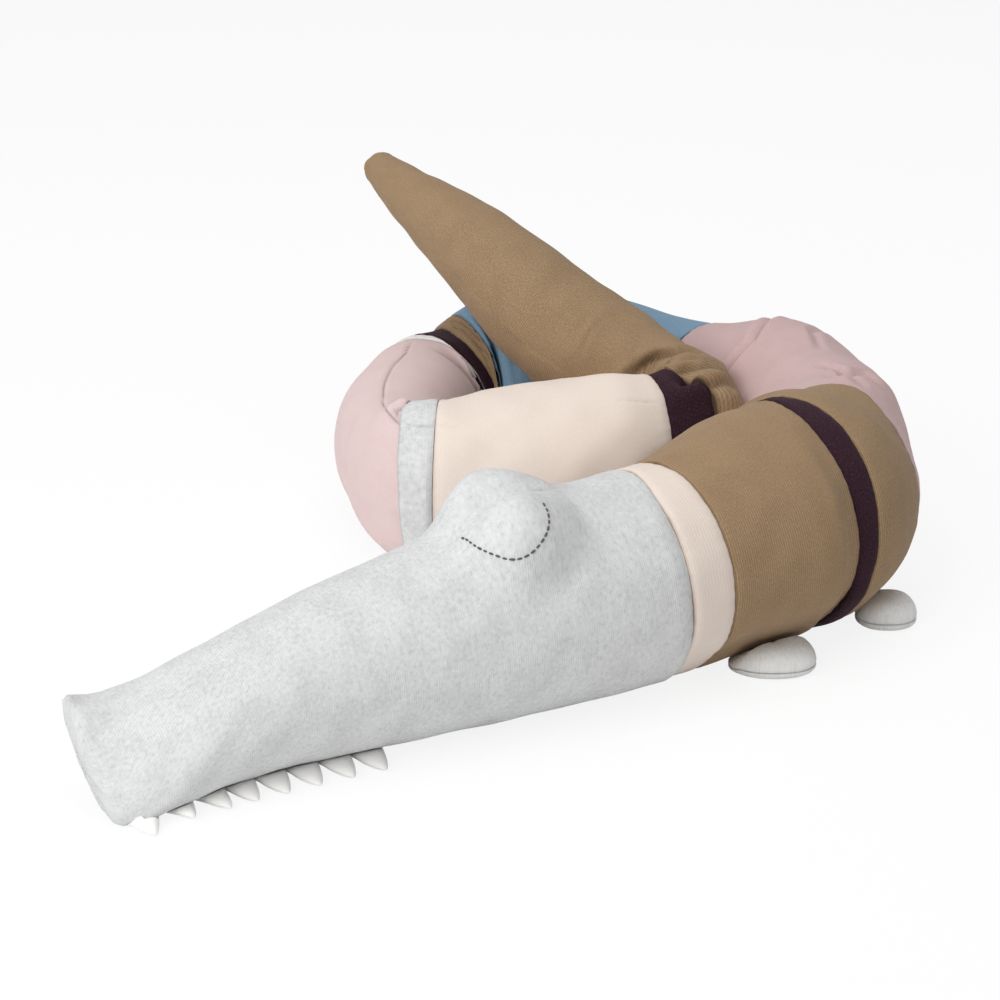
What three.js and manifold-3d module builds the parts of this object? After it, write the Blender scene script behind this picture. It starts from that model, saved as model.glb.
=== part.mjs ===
// A knitted crocodile cushion, lying coiled on itself with its tail over the back of the coil.
// Millimetres. +Z is up, the floor is z = 0, and the coil opens towards -Y and -X, where the snout points.
//
// The cushion is one long stuffed tube, sewn end to end from knitted panels. Its centre line is laid out from
// the snout, stretch by stretch, as a length and a turn, and every other piece is placed on that line. The
// knitted panels are open sleeves, the filling inside them is parted where the body bends, and a panel that
// lies against a larger part of the body is dented by it, as soft pieces are.

import * as THREE from 'three';
import Module from 'manifold-3d';

const wasm = await Module();
wasm.setup();

// The main sizes: the length of the centre line, and the thickness of the stuffed body at the neck
const bodyLength = 2043;
const bodyThickness = 160;

// Sizes that every soft piece shares
const knitThickness = 2.5;
const seamGap = 0.3;
const floorCutDepth = 0.5;
const cutOverrun = 2;
const ringSides = 18;
const ringSpacing = 38;
const coarsestTurnDegrees = 16;
const bendReach = 170;
const innerBendShare = 0.92;

// Where the line starts, at the tip of the snout, which is sewn flat from its near bottom to its far top corner
const snoutTip = { headingDegrees: 31.7, width: 104, height: 24, rollDegrees: 37, bulge: 7 };
const tailTipBulge = 13;

// The centre line, from the snout to the tip of the tail. lengthShare is a part of bodyLength. widthShare,
// heightShare and liftShare, for the height of the underside over the floor, are parts of bodyThickness. They
// and rollDegrees hold where the stretch ends. tiltShare says how far the rings there lean with a rising line.
const stretchShares = [
  {
    panel: 'head_cover', lengthShare: 0.0201, turnDegrees: -2, widthShare: 0.725, heightShare: 0.375,
    rollDegrees: 14, spacingShare: 0.55,
  },
  {
    panel: 'head_cover', lengthShare: 0.0333, turnDegrees: -2, widthShare: 0.744, heightShare: 0.581,
    rollDegrees: 2,
  },
  {
    panel: 'head_cover', lengthShare: 0.0578, turnDegrees: -3, widthShare: 0.881, heightShare: 0.8,
    spacingShare: 0.79,
  },
  {
    panel: 'head_cover', lengthShare: 0.1018, turnDegrees: 5.5, widthShare: 1.031, heightShare: 0.994,
    spacingShare: 0.42,
  },
  { panel: 'collar_band', lengthShare: 0.0122, turnDegrees: 4.5, widthShare: 1.012, heightShare: 1 },
  {
    panel: 'brown_front_panel', lengthShare: 0.0538, turnDegrees: 4.5, widthShare: 1.163, heightShare: 1.137,
    swellShare: 0.015,
  },
  {
    panel: 'aubergine_front_band', lengthShare: 0.0103, turnDegrees: 12,
    widthShare: 1.137, heightShare: 1.15,
  },
  {
    panel: 'brown_second_panel', lengthShare: 0.0475, turnDegrees: 34,
    widthShare: 0.85, heightShare: 1.025,
  },
  {
    panel: 'pink_right_panel', lengthShare: 0.0768, turnDegrees: 32.5,
    widthShare: 0.875, heightShare: 0.988,
  },
  { panel: 'pink_right_panel', lengthShare: 0.047, turnDegrees: 22.5, widthShare: 0.812, heightShare: 0.8 },
  {
    panel: 'blue_back_panel', lengthShare: 0.1052, turnDegrees: 67.5, widthShare: 0.794, heightShare: 0.806,
    swellShare: 0.02,
  },
  { panel: 'brown_fold_panel', lengthShare: 0.0073, turnDegrees: 10, widthShare: 0.756, heightShare: 0.738 },
  {
    panel: 'aubergine_back_band', lengthShare: 0.0142, turnDegrees: 19,
    widthShare: 0.756, heightShare: 0.756,
  },
  { panel: 'white_band', lengthShare: 0.0044, turnDegrees: 7, widthShare: 0.756, heightShare: 0.75 },
  { panel: 'pink_left_panel', lengthShare: 0.0485, turnDegrees: 21, widthShare: 0.688, heightShare: 0.762 },
  { panel: 'pink_left_panel', lengthShare: 0.0362, turnDegrees: 14.5, widthShare: 0.675, heightShare: 0.8 },
  { panel: 'pink_left_panel', lengthShare: 0.0166, turnDegrees: 66, widthShare: 0.85, heightShare: 0.863 },
  {
    panel: 'grey_band', lengthShare: 0.0093, turnDegrees: 13, widthShare: 0.863, heightShare: 0.85,
    liftShare: 0.025,
  },
  {
    panel: 'peach_panel', lengthShare: 0.0837, turnDegrees: 18.5, widthShare: 0.775, heightShare: 0.738,
    liftShare: 0.219,
  },
  {
    panel: 'aubergine_tail_band', lengthShare: 0.0127, turnDegrees: 27.5, widthShare: 0.637, heightShare: 0.662,
    liftShare: 0.287,
  },
  {
    panel: 'tail_cover', lengthShare: 0.0201, turnDegrees: 90, widthShare: 0.512, heightShare: 0.613,
    liftShare: 0.388, tiltShare: 0.5,
  },
  {
    panel: 'tail_cover', lengthShare: 0.0411, turnDegrees: 12.5, widthShare: 0.65, heightShare: 0.637,
    liftShare: 0.531, tiltShare: 1,
  },
  {
    panel: 'tail_cover', lengthShare: 0.0759, turnDegrees: -13, widthShare: 0.475, heightShare: 0.45,
    liftShare: 1.05, tiltShare: 1,
  },
  {
    panel: 'tail_cover', lengthShare: 0.0641, turnDegrees: -9.5, widthShare: 0.2, heightShare: 0.188,
    liftShare: 1.406, tiltShare: 1,
  },
];
const lengthShareSum = stretchShares.reduce((sum, stretch) => sum + stretch.lengthShare, 0);
const stretches = stretchShares.map((stretch) => ({
  ...stretch,
  length: bodyLength * stretch.lengthShare / lengthShareSum,
  width: bodyThickness * stretch.widthShare,
  height: bodyThickness * stretch.heightShare,
  lift: bodyThickness * (stretch.liftShare ?? 0),
  spacing: ringSpacing * (stretch.spacingShare ?? 1),
}));

// Yarn colours
const colours = {
  greyMelange: 0xd2d4d4,
  peach: 0xe6d5c9,
  brown: 0x96795a,
  aubergine: 0x3a1f30,
  pinkRight: 0xc9a3a4,
  blue: 0x7093ad,
  white: 0xeceae6,
  pinkLeft: 0xe3c3c6,
  tooth: 0xf2efe9,
  thread: 0x4a4a4c,
  filling: 0xf7f7f5,
};

const panelColours = {
  head_cover: colours.greyMelange,
  collar_band: colours.peach,
  brown_front_panel: colours.brown,
  aubergine_front_band: colours.aubergine,
  brown_second_panel: colours.brown,
  pink_right_panel: colours.pinkRight,
  blue_back_panel: colours.blue,
  brown_fold_panel: colours.brown,
  aubergine_back_band: colours.aubergine,
  white_band: colours.white,
  pink_left_panel: colours.pinkLeft,
  grey_band: colours.greyMelange,
  peach_panel: colours.peach,
  aubergine_tail_band: colours.aubergine,
  tail_cover: colours.brown,
};

// Each filling core runs through the panels between its first and last one
const fillings = [
  { name: 'head_filling', first: 'head_cover', last: 'head_cover' },
  { name: 'collar_filling', first: 'collar_band', last: 'collar_band' },
  { name: 'front_filling', first: 'brown_front_panel', last: 'brown_front_panel' },
  { name: 'middle_filling', first: 'aubergine_front_band', last: 'pink_right_panel' },
  { name: 'coil_end_filling', first: 'blue_back_panel', last: 'aubergine_tail_band' },
  { name: 'tail_filling', first: 'tail_cover', last: 'tail_cover' },
];

// The eye bumps, one on each side of the top of the skull. along is measured from the snout's first ring.
const eyes = { along: 316, fromTopDegrees: 19, radius: 54, height: 31 };
const eyelid = {
  alongOffset: -5, towardsTopDegrees: 4, radius: 28, sweepDegrees: 200, tiltDegrees: 5,
  threadDiameter: 3.2, points: 17, sides: 6,
};

// Teeth along both mouth seams, and the feet
const teeth = {
  count: 8, first: 23, pitch: 25, rootOffset: 30, length: 30, steepestShare: 0.8,
  rootWidth: 22, rootThickness: 9, tipWidth: 5, tipThickness: 4, sides: 8, floorClearance: 1,
};
const toothSections = [
  { alongShare: 0, widthShare: 1, thicknessShare: 1 },
  { alongShare: 0.35, widthShare: 0.86, thicknessShare: 1.05 },
  { alongShare: 0.7, widthShare: 0.5, thicknessShare: 0.7 },
  { alongShare: 1, widthShare: 0, thicknessShare: 0 },
];
const foot = { length: 70, width: 60, thickness: 26, offset: 61, outlinePoints: 16, domeRings: 3 };
const feet = [
  { name: 'front', panel: 'brown_front_panel', alongShare: 0.45 },
  { name: 'rear', panel: 'brown_second_panel', alongShare: 0.22 },
];

const degree = Math.PI / 180;

// Cubic through the values at the ends of the stretches, with slopes that suit uneven spacing
function smoothValues(knots, values) {
  const last = knots.length - 1;
  const rises = [];
  for (let i = 0; i < last; i += 1) rises.push((values[i + 1] - values[i]) / (knots[i + 1] - knots[i]));
  const slopes = [rises[0]];
  for (let i = 1; i < last; i += 1) {
    const before = knots[i] - knots[i - 1];
    const after = knots[i + 1] - knots[i];
    slopes.push((rises[i - 1] * after + rises[i] * before) / (before + after));
  }
  slopes.push(rises[last - 1]);
  return (at) => {
    let i = 0;
    while (i < last - 1 && at > knots[i + 1]) i += 1;
    const span = knots[i + 1] - knots[i];
    const t = (at - knots[i]) / span;
    const fromStart = 2 * t ** 3 - 3 * t ** 2 + 1;
    const startSlope = (t ** 3 - 2 * t ** 2 + t) * span * slopes[i];
    const endSlope = (t ** 3 - t ** 2) * span * slopes[i + 1];
    return fromStart * values[i] + startSlope + (1 - fromStart) * values[i + 1] + endSlope;
  };
}

// How far a ring may reach on one side: no further than half way to any ring near it on the line. On the inside
// of a sharp bend that is less than the tube's half width, and the knit folds in there.
function roomInBend(stations, station, side) {
  let room = Infinity;
  for (const other of stations) {
    const away = other.centre.clone().sub(station.centre);
    const sideways = away.dot(station.left) * side;
    const near = Math.abs(other.along - station.along) < bendReach;
    if (near && sideways > 0) room = Math.min(room, innerBendShare * away.lengthSq() / (2 * sideways));
  }
  return room;
}

// The stations: one every ring, each with its place, heading, lean and half sizes
function layOutStations() {
  const knots = [0];
  for (const stretch of stretches) knots.push(knots.at(-1) + stretch.length);
  const valueAt = (key, start) => smoothValues(knots, [start, ...stretches.map((stretch) => stretch[key] ?? 0)]);
  const widthAt = valueAt('width', snoutTip.width);
  const heightAt = valueAt('height', snoutTip.height);
  const liftAt = valueAt('lift', 0);
  const rollAt = valueAt('rollDegrees', snoutTip.rollDegrees);

  const stations = [];
  const addStation = (along, stretch, share, headingBefore) => {
    const swell = 1 + (stretch.swellShare ?? 0) * Math.sin(Math.PI * share);
    const halfWidth = widthAt(along) * swell / 2;
    const halfHeight = heightAt(along) * swell / 2;
    const roll = rollAt(along) * degree;
    const reachDown = Math.hypot(halfWidth * Math.sin(roll), halfHeight * Math.cos(roll));
    stations.push({
      along,
      heading: headingBefore,
      halfWidth,
      halfHeight,
      roll,
      height: Math.max(liftAt(along), 0) + reachDown * Math.cos(Math.PI / ringSides) - floorCutDepth,
      tiltShare: stretch.tiltShare ?? 0,
    });
  };
  let along = 0;
  let heading = snoutTip.headingDegrees * degree;
  addStation(along, stretches[0], 0, heading);
  for (const [index, stretch] of stretches.entries()) {
    const byLength = Math.ceil(stretch.length / stretch.spacing);
    const byTurn = Math.ceil(Math.abs(stretch.turnDegrees) / coarsestTurnDegrees);
    const steps = Math.max(byLength, byTurn, 1);
    const tiltBefore = stretches[index - 1]?.tiltShare ?? 0;
    for (let step = 1; step <= steps; step += 1) {
      const share = step / steps;
      heading += stretch.turnDegrees * degree / steps;
      along = knots[index] + stretch.length * share;
      addStation(along, stretch, share, heading);
      stations.at(-1).tiltShare = THREE.MathUtils.lerp(tiltBefore, stretch.tiltShare ?? 0, share);
    }
    stretch.endStation = stations.length - 1;
  }

  stations[0].x = 0;
  stations[0].y = 0;
  for (let i = 1; i < stations.length; i += 1) {
    const before = stations[i - 1];
    const here = stations[i];
    const climb = here.height - before.height;
    const step = here.along - before.along;
    const flat = Math.sqrt(step ** 2 - climb ** 2);
    const middleHeading = (before.heading + here.heading) / 2;
    here.x = before.x + flat * Math.cos(middleHeading);
    here.y = before.y + flat * Math.sin(middleHeading);
    here.rise = Math.atan2(climb, flat);
  }
  stations[0].rise = stations[1].rise;
  stations.forEach((station, i) => {
    const after = stations[Math.min(i + 1, stations.length - 1)];
    const lean = station.tiltShare * (station.rise + after.rise) / 2;
    station.forward = new THREE.Vector3(Math.cos(station.heading), Math.sin(station.heading), 0);
    station.left = new THREE.Vector3(-Math.sin(station.heading), Math.cos(station.heading), 0);
    station.up = new THREE.Vector3(0, 0, 1).applyAxisAngle(station.left, -lean);
    station.forward.applyAxisAngle(station.left, -lean);
    station.centre = new THREE.Vector3(station.x, station.y, station.height);
  });
  for (const station of stations) {
    station.halfLeft = Math.min(station.halfWidth, roomInBend(stations, station, 1));
    station.halfRight = Math.min(station.halfWidth, roomInBend(stations, station, -1));
  }
  return stations;
}

const stations = layOutStations();

// First and last station of each panel
const panels = {};
stretches.forEach((stretch, index) => {
  const start = index === 0 ? 0 : stretches[index - 1].endStation;
  panels[stretch.panel] ??= { start };
  panels[stretch.panel].end = stretch.endStation;
});
const noseStation = 0;
const tailStation = stations.length - 1;
const seamStations = Object.values(panels).map((panel) => panel.end);

// How far an eye bump lifts the skin at a place on the head
function eyeBump(station, angle) {
  let lifted = 0;
  for (const side of [-1, 1]) {
    const eyeAngle = Math.PI / 2 + side * eyes.fromTopDegrees * degree;
    const across = (angle - eyeAngle) * station.halfHeight;
    const distance = Math.hypot(station.along - eyes.along, across) / eyes.radius;
    if (distance < 1) lifted = Math.max(lifted, eyes.height * Math.cos(distance * Math.PI / 2) ** 2);
  }
  return lifted;
}

// A point of the skin, moved inwards by inset. Angles run from the left side over the top.
function skinPoint(station, angle, inset) {
  const halfWidth = Math.cos(angle) > 0 ? station.halfLeft : station.halfRight;
  const bump = eyeBump(station, angle);
  const across = Math.cos(angle) * (halfWidth + bump - inset);
  const over = Math.sin(angle) * (station.halfHeight + bump - inset);
  const point = station.centre.clone();
  point.addScaledVector(station.left, across * Math.cos(station.roll) - over * Math.sin(station.roll));
  point.addScaledVector(station.up, across * Math.sin(station.roll) + over * Math.cos(station.roll));
  return point;
}

// A ring of the skin, with a flat side at the bottom to lie on
function ring(station, inset, shift = 0) {
  const points = [];
  for (let side = 0; side < ringSides; side += 1) {
    const point = skinPoint(station, side * 2 * Math.PI / ringSides, inset);
    point.addScaledVector(station.forward, shift);
    if (inset >= 0) point.z = Math.max(point.z, inset);
    points.push(point);
  }
  return points;
}

// Rings that round an end off, from the pole inwards. direction is -1 at the nose and 1 at the tail tip.
function roundedEnd(station, inset, bulge, direction) {
  const base = ring(station, inset);
  const reach = (bulge - inset) * direction;
  const rings = [];
  for (const share of [1 / 3, 2 / 3]) {
    const angle = share * Math.PI / 2;
    rings.push(base.map((point) => {
      const moved = station.centre.clone().lerp(point, Math.cos(angle));
      moved.addScaledVector(station.forward, reach * Math.sin(angle));
      if (inset >= 0) moved.z = Math.max(moved.z, inset);
      return moved;
    }));
  }
  const pole = station.centre.clone().addScaledVector(station.forward, reach);
  return { rings, pole };
}

// The rings of the skin from one station to another. It ends flat, half a seam gap short, or with a pole at the
// nose and the tip of the tail. A seam on the way has a ring on each side, where the panels' own rings are.
// overrun carries it straight on past its flat ends.
function skin(start, end, inset, overrun = 0) {
  const rings = [];
  for (let i = start; i <= end; i += 1) {
    const isSeam = seamStations.includes(i) && i !== tailStation;
    if (isSeam && i > start) rings.push(ring(stations[i], inset, -seamGap / 2));
    if (!isSeam) rings.push(ring(stations[i], inset));
    if (isSeam && i < end) rings.push(ring(stations[i], inset, seamGap / 2));
  }
  if (overrun > 0 && start !== noseStation) rings.unshift(ring(stations[start], inset, -overrun));
  if (overrun > 0 && end !== tailStation) rings.push(ring(stations[end], inset, overrun));
  let startPole = null;
  let endPole = null;
  if (start === noseStation) {
    const nose = roundedEnd(stations[noseStation], inset, snoutTip.bulge, -1);
    rings.unshift(nose.rings[1], nose.rings[0]);
    startPole = nose.pole;
  }
  if (end === tailStation) {
    const tip = roundedEnd(stations[tailStation], inset, tailTipBulge, 1);
    rings.push(tip.rings[0], tip.rings[1]);
    endPole = tip.pole;
  }
  return { rings, startPole, endPole };
}

// Collects points and triangles of one closed body
class Surface {
  positions = [];

  triangles = [];

  addPoints(points) {
    const first = this.positions.length / 3;
    for (const point of points) this.positions.push(point.x, point.y, point.z);
    return points.map((point, i) => first + i);
  }

  // A band between two rings that run anticlockwise seen from ahead, with to ahead of from. An inner band
  // faces the other way and is split along the same diagonals, so walls keep their thickness.
  band(from, to, inner = false) {
    from.forEach((corner, i) => {
      const next = (i + 1) % from.length;
      const outwards = [corner, from[next], to[next], corner, to[next], to[i]];
      this.triangles.push(...(inner ? outwards.reverse() : outwards));
    });
  }

  fan(loop, pole) {
    loop.forEach((corner, i) => this.triangles.push(corner, loop[(i + 1) % loop.length], pole));
  }

  geometry() {
    const geometry = new THREE.BufferGeometry();
    geometry.setAttribute('position', new THREE.Float32BufferAttribute(this.positions, 3));
    geometry.setIndex(this.triangles);
    return geometry;
  }
}

function ringCentre(points) {
  const centre = new THREE.Vector3();
  for (const point of points) centre.add(point);
  return centre.divideScalar(points.length);
}

// A closed solid through the rings of a skin
function solidGeometry({ rings, startPole, endPole }) {
  const surface = new Surface();
  const loops = rings.map((points) => surface.addPoints(points));
  for (let i = 1; i < loops.length; i += 1) surface.band(loops[i - 1], loops[i]);
  const [firstPole] = surface.addPoints([startPole ?? ringCentre(rings[0])]);
  const [lastPole] = surface.addPoints([endPole ?? ringCentre(rings.at(-1))]);
  surface.fan([...loops[0]].reverse(), firstPole);
  surface.fan(loops.at(-1), lastPole);
  return surface.geometry();
}

// A sleeve between an outer and an inner skin, open at each flat end
function sleeveGeometry(outer, inner) {
  const surface = new Surface();
  const outerLoops = outer.rings.map((points) => surface.addPoints(points));
  const innerLoops = inner.rings.map((points) => surface.addPoints(points));
  for (let i = 1; i < outerLoops.length; i += 1) {
    surface.band(outerLoops[i - 1], outerLoops[i]);
    surface.band(innerLoops[i - 1], innerLoops[i], true);
  }
  if (outer.startPole) {
    const [outerPole, innerPole] = surface.addPoints([outer.startPole, inner.startPole]);
    surface.fan([...outerLoops[0]].reverse(), outerPole);
    surface.fan(innerLoops[0], innerPole);
  } else {
    surface.band(innerLoops[0], outerLoops[0]);
  }
  if (outer.endPole) {
    const [outerPole, innerPole] = surface.addPoints([outer.endPole, inner.endPole]);
    surface.fan(outerLoops.at(-1), outerPole);
    surface.fan([...innerLoops.at(-1)].reverse(), innerPole);
  } else {
    surface.band(outerLoops.at(-1), innerLoops.at(-1));
  }
  return surface.geometry();
}

function toManifold(geometry) {
  return new wasm.Manifold(new wasm.Mesh({
    numProp: 3,
    vertProperties: new Float32Array(geometry.getAttribute('position').array),
    triVerts: new Uint32Array(geometry.getIndex().array),
  }));
}

function fromManifold(manifold) {
  const { vertProperties, triVerts } = manifold.getMesh();
  const geometry = new THREE.BufferGeometry();
  geometry.setAttribute('position', new THREE.Float32BufferAttribute(vertProperties, 3));
  geometry.setIndex(Array.from(triVerts));
  return geometry;
}

// Parts of the body that press on smaller ones, grown by a clearance
function presserSolid({ start, end, overrun = cutOverrun }, clearance) {
  return toManifold(solidGeometry(skin(start, end, -clearance, overrun)));
}

const headEnd = { start: noseStation, end: panels.brown_second_panel.end };
const coilRing = { start: panels.pink_right_panel.start, end: panels.white_band.end };
const wholeRing = { start: panels.pink_right_panel.start, end: panels.pink_left_panel.end };
const tailRoot = { start: panels.peach_panel.start, end: panels.aubergine_tail_band.end, overrun: 0 };
const frontBody = { start: panels.collar_band.start, end: panels.pink_right_panel.end };
const pressedBy = {
  pink_left_panel: [headEnd],
  grey_band: [headEnd, coilRing],
  peach_panel: [headEnd, coilRing],
  aubergine_tail_band: [headEnd, coilRing],
  tail_cover: [headEnd, wholeRing, tailRoot],
  coil_end_filling: [headEnd],
  tail_filling: [headEnd, wholeRing, tailRoot],
};

// Takes the pressers' room out of a solid and leaves it whole where they don't reach it
function dent(solid, pressers, clearance) {
  let dented = solid;
  for (const presser of pressers) {
    const room = presserSolid(presser, clearance);
    if (!dented.intersect(room).isEmpty()) dented = dented.subtract(room);
  }
  return dented;
}

// A knitted sleeve with a wall of even thickness, dents and all
function coverGeometry(panel, pressers) {
  const outer = skin(panel.start, panel.end, 0);
  const outerSolid = toManifold(solidGeometry(outer));
  const wallRoom = seamGap + knitThickness;
  const pressed = pressers.filter((presser) => !outerSolid.intersect(presserSolid(presser, wallRoom)).isEmpty());
  if (pressed.length === 0) return sleeveGeometry(outer, skin(panel.start, panel.end, knitThickness));
  const innerSolid = toManifold(solidGeometry(skin(panel.start, panel.end, knitThickness, cutOverrun)));
  return fromManifold(dent(outerSolid, pressed, seamGap).subtract(dent(innerSolid, pressed, wallRoom)));
}

function fillingGeometry(run, pressers) {
  const inset = knitThickness + seamGap;
  const geometry = solidGeometry(skin(run.start, run.end, inset));
  const solid = toManifold(geometry);
  const dented = dent(solid, pressers, inset + seamGap);
  return dented === solid ? geometry : fromManifold(dented);
}

const cushion = new THREE.Group();

function addMesh(name, geometry, colour) {
  geometry.computeVertexNormals();
  const material = new THREE.MeshStandardMaterial({ color: colour, roughness: 0.95, metalness: 0 });
  const mesh = new THREE.Mesh(geometry, material);
  mesh.name = name;
  cushion.add(mesh);
}

for (const [name, panel] of Object.entries(panels)) {
  addMesh(name, coverGeometry(panel, pressedBy[name] ?? []), panelColours[name]);
}
for (const { name, first, last } of fillings) {
  const run = { start: panels[first].start, end: panels[last].end };
  addMesh(name, fillingGeometry(run, pressedBy[name] ?? []), colours.filling);
}

// A station at any distance along the line, between the rings
function stationAt(along) {
  let i = 1;
  while (i < stations.length - 1 && stations[i].along < along) i += 1;
  const before = stations[i - 1];
  const after = stations[i];
  const share = (along - before.along) / (after.along - before.along);
  const mix = (key) => THREE.MathUtils.lerp(before[key], after[key], share);
  return {
    along,
    centre: before.centre.clone().lerp(after.centre, share),
    forward: before.forward.clone().lerp(after.forward, share).normalize(),
    left: before.left.clone().lerp(after.left, share).normalize(),
    up: before.up.clone().lerp(after.up, share).normalize(),
    halfWidth: mix('halfWidth'),
    halfLeft: mix('halfLeft'),
    halfRight: mix('halfRight'),
    halfHeight: mix('halfHeight'),
    roll: mix('roll'),
  };
}

// A closed tube of varying oval sections along a list of centres
function loftedSolid(sections, sides) {
  const rings = sections.map(({ centre, across, over, halfAcross, halfOver }) => {
    const points = [];
    for (let side = 0; side < sides; side += 1) {
      const angle = (side + 1 / 2) * 2 * Math.PI / sides;
      const point = centre.clone().addScaledVector(across, Math.cos(angle) * halfAcross);
      points.push(point.addScaledVector(over, Math.sin(angle) * halfOver));
    }
    return points;
  });
  return solidGeometry({ rings, startPole: null, endPole: null });
}

// The head without its seams, for seating the teeth and the eyelids on it
const headRoom = presserSolid(panels.head_cover, seamGap);

// The angle at which the underside of a ring lies at a distance to the left of the line
function undersideAngle(station, offset) {
  const wide = station.halfWidth * Math.cos(station.roll);
  const high = station.halfHeight * Math.sin(station.roll);
  return -Math.atan2(high, wide) - Math.acos(offset / Math.hypot(wide, high));
}

// A flat soft tooth, sewn under the snout and lying out towards the floor
function addTooth(name, along, side) {
  const station = stationAt(along);
  const root = skinPoint(station, undersideAngle(station, side * teeth.rootOffset), 0);
  root.z = Math.max(root.z, teeth.floorClearance + teeth.rootThickness / 2);
  const tipHeight = teeth.floorClearance + teeth.tipThickness / 2;
  const drop = Math.min((root.z - tipHeight) / teeth.length, teeth.steepestShare);
  const direction = station.left.clone().multiplyScalar(side * Math.sqrt(1 - drop ** 2));
  direction.z -= drop;
  const across = station.forward.clone().multiplyScalar(side);
  const over = direction.clone().cross(across);
  const sections = toothSections.map(({ alongShare, widthShare, thicknessShare }) => ({
    centre: root.clone().addScaledVector(direction, teeth.length * alongShare),
    across,
    over,
    halfAcross: THREE.MathUtils.lerp(teeth.tipWidth, teeth.rootWidth, widthShare) / 2,
    halfOver: THREE.MathUtils.lerp(teeth.tipThickness, teeth.rootThickness, thicknessShare) / 2,
  }));
  const solid = toManifold(loftedSolid(sections, teeth.sides));
  addMesh(name, fromManifold(solid.subtract(headRoom)), colours.tooth);
}

for (const [sideName, side] of [['near', -1], ['far', 1]]) {
  for (let i = 0; i < teeth.count; i += 1) {
    addTooth(`tooth_${sideName}_${i + 1}`, teeth.first + teeth.pitch * i, side);
  }
}

// A closed eyelid: one running thread in an open arc round the lower half of the eye bump
function addEyelid(name, side) {
  const sections = [];
  for (let i = 0; i < eyelid.points; i += 1) {
    const sweep = (i / (eyelid.points - 1) - 1 / 2) * eyelid.sweepDegrees * degree;
    const turned = sweep + eyelid.tiltDegrees * degree;
    const station = stationAt(eyes.along + eyelid.alongOffset + Math.sin(turned) * eyelid.radius);
    const across = Math.cos(turned) * eyelid.radius / station.halfHeight;
    const fromTop = (eyes.fromTopDegrees - eyelid.towardsTopDegrees) * degree + across;
    const angle = Math.PI / 2 - side * fromTop;
    const centre = skinPoint(station, angle, 0);
    const outward = station.left.clone().multiplyScalar(Math.cos(angle));
    outward.addScaledVector(station.up, Math.sin(angle));
    sections.push({ centre, outward });
  }
  sections.forEach((section, i) => {
    const ahead = sections[Math.min(i + 1, sections.length - 1)].centre;
    const behind = sections[Math.max(i - 1, 0)].centre;
    const direction = ahead.clone().sub(behind).normalize();
    section.across = section.outward.clone().cross(direction).normalize();
    section.over = direction.clone().cross(section.across);
    section.halfAcross = eyelid.threadDiameter / 2;
    section.halfOver = eyelid.threadDiameter / 2;
  });
  const solid = toManifold(loftedSolid(sections, eyelid.sides));
  addMesh(name, fromManifold(solid.subtract(headRoom)), colours.thread);
}

addEyelid('eyelid_near', -1);
addEyelid('eyelid_far', 1);

// Half a padded oval, domed up or down from its rim, with everything moved inwards by inset
function domeGeometry({ centre, outward, forward }, direction, inset, rimShift) {
  const ovalAt = (reachShare, height) => {
    const points = [];
    for (let i = 0; i < foot.outlinePoints; i += 1) {
      const turn = i / foot.outlinePoints * 2 * Math.PI;
      const point = centre.clone();
      point.addScaledVector(outward, Math.cos(turn) * reachShare * (foot.length / 2 - inset));
      point.addScaledVector(forward, Math.sin(turn) * reachShare * (foot.width / 2 - inset));
      point.z = Math.max(point.z + direction * height, inset);
      points.push(point);
    }
    return points;
  };
  const rings = [ovalAt(1, rimShift)];
  if (rimShift < 0) rings.push(ovalAt(1, 0));
  for (let level = 1; level < foot.domeRings; level += 1) {
    const angle = level / foot.domeRings * Math.PI / 2;
    rings.push(ovalAt(Math.cos(angle), Math.sin(angle) * (foot.thickness / 2 - inset)));
  }
  const pole = centre.clone();
  pole.z = Math.max(centre.z + direction * (foot.thickness / 2 - inset), inset);
  const surface = new Surface();
  const turnsUp = outward.clone().cross(forward).z > 0;
  const loops = rings.map((points) => surface.addPoints(direction > 0 === turnsUp ? points : points.reverse()));
  const [top, middle] = surface.addPoints([pole, ringCentre(rings[0])]);
  for (let i = 1; i < loops.length; i += 1) surface.band(loops[i - 1], loops[i]);
  surface.fan(loops.at(-1), top);
  surface.fan([...loops[0]].reverse(), middle);
  return surface.geometry();
}

// A foot: an upper and a lower cover sewn round the rim, with a filling, pressed by the body over it
function addFoot(name, along, side) {
  const station = stationAt(along);
  const outward = station.left.clone().multiplyScalar(side);
  const lowestRing = (foot.domeRings - 1) / foot.domeRings * Math.PI / 2;
  const centre = station.centre.clone().addScaledVector(outward, foot.offset);
  centre.z = foot.thickness / 2 * Math.sin(lowestRing) - floorCutDepth;
  const place = { centre, outward, forward: station.forward };
  const wallRoom = seamGap + knitThickness;
  const halves = { upper: 1, lower: -1 };
  for (const [half, direction] of Object.entries(halves)) {
    const outer = toManifold(domeGeometry(place, direction, 0, seamGap / 2));
    const inner = toManifold(domeGeometry(place, direction, knitThickness, -cutOverrun));
    const cover = dent(outer, [frontBody], seamGap).subtract(dent(inner, [frontBody], wallRoom));
    addMesh(`${name}_${half}_cover`, fromManifold(cover), colours.greyMelange);
  }
  const inset = knitThickness + seamGap;
  const upperFilling = toManifold(domeGeometry(place, 1, inset, 0));
  const lowerFilling = toManifold(domeGeometry(place, -1, inset, 0));
  const filling = dent(upperFilling.add(lowerFilling), [frontBody], inset + seamGap);
  addMesh(`${name}_filling`, fromManifold(filling), colours.filling);
}

for (const { name, panel, alongShare } of feet) {
  const { start, end } = panels[panel];
  const along = THREE.MathUtils.lerp(stations[start].along, stations[end].along, alongShare);
  addFoot(`${name}_foot_near`, along, -1);
  addFoot(`${name}_foot_far`, along, 1);
}

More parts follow.
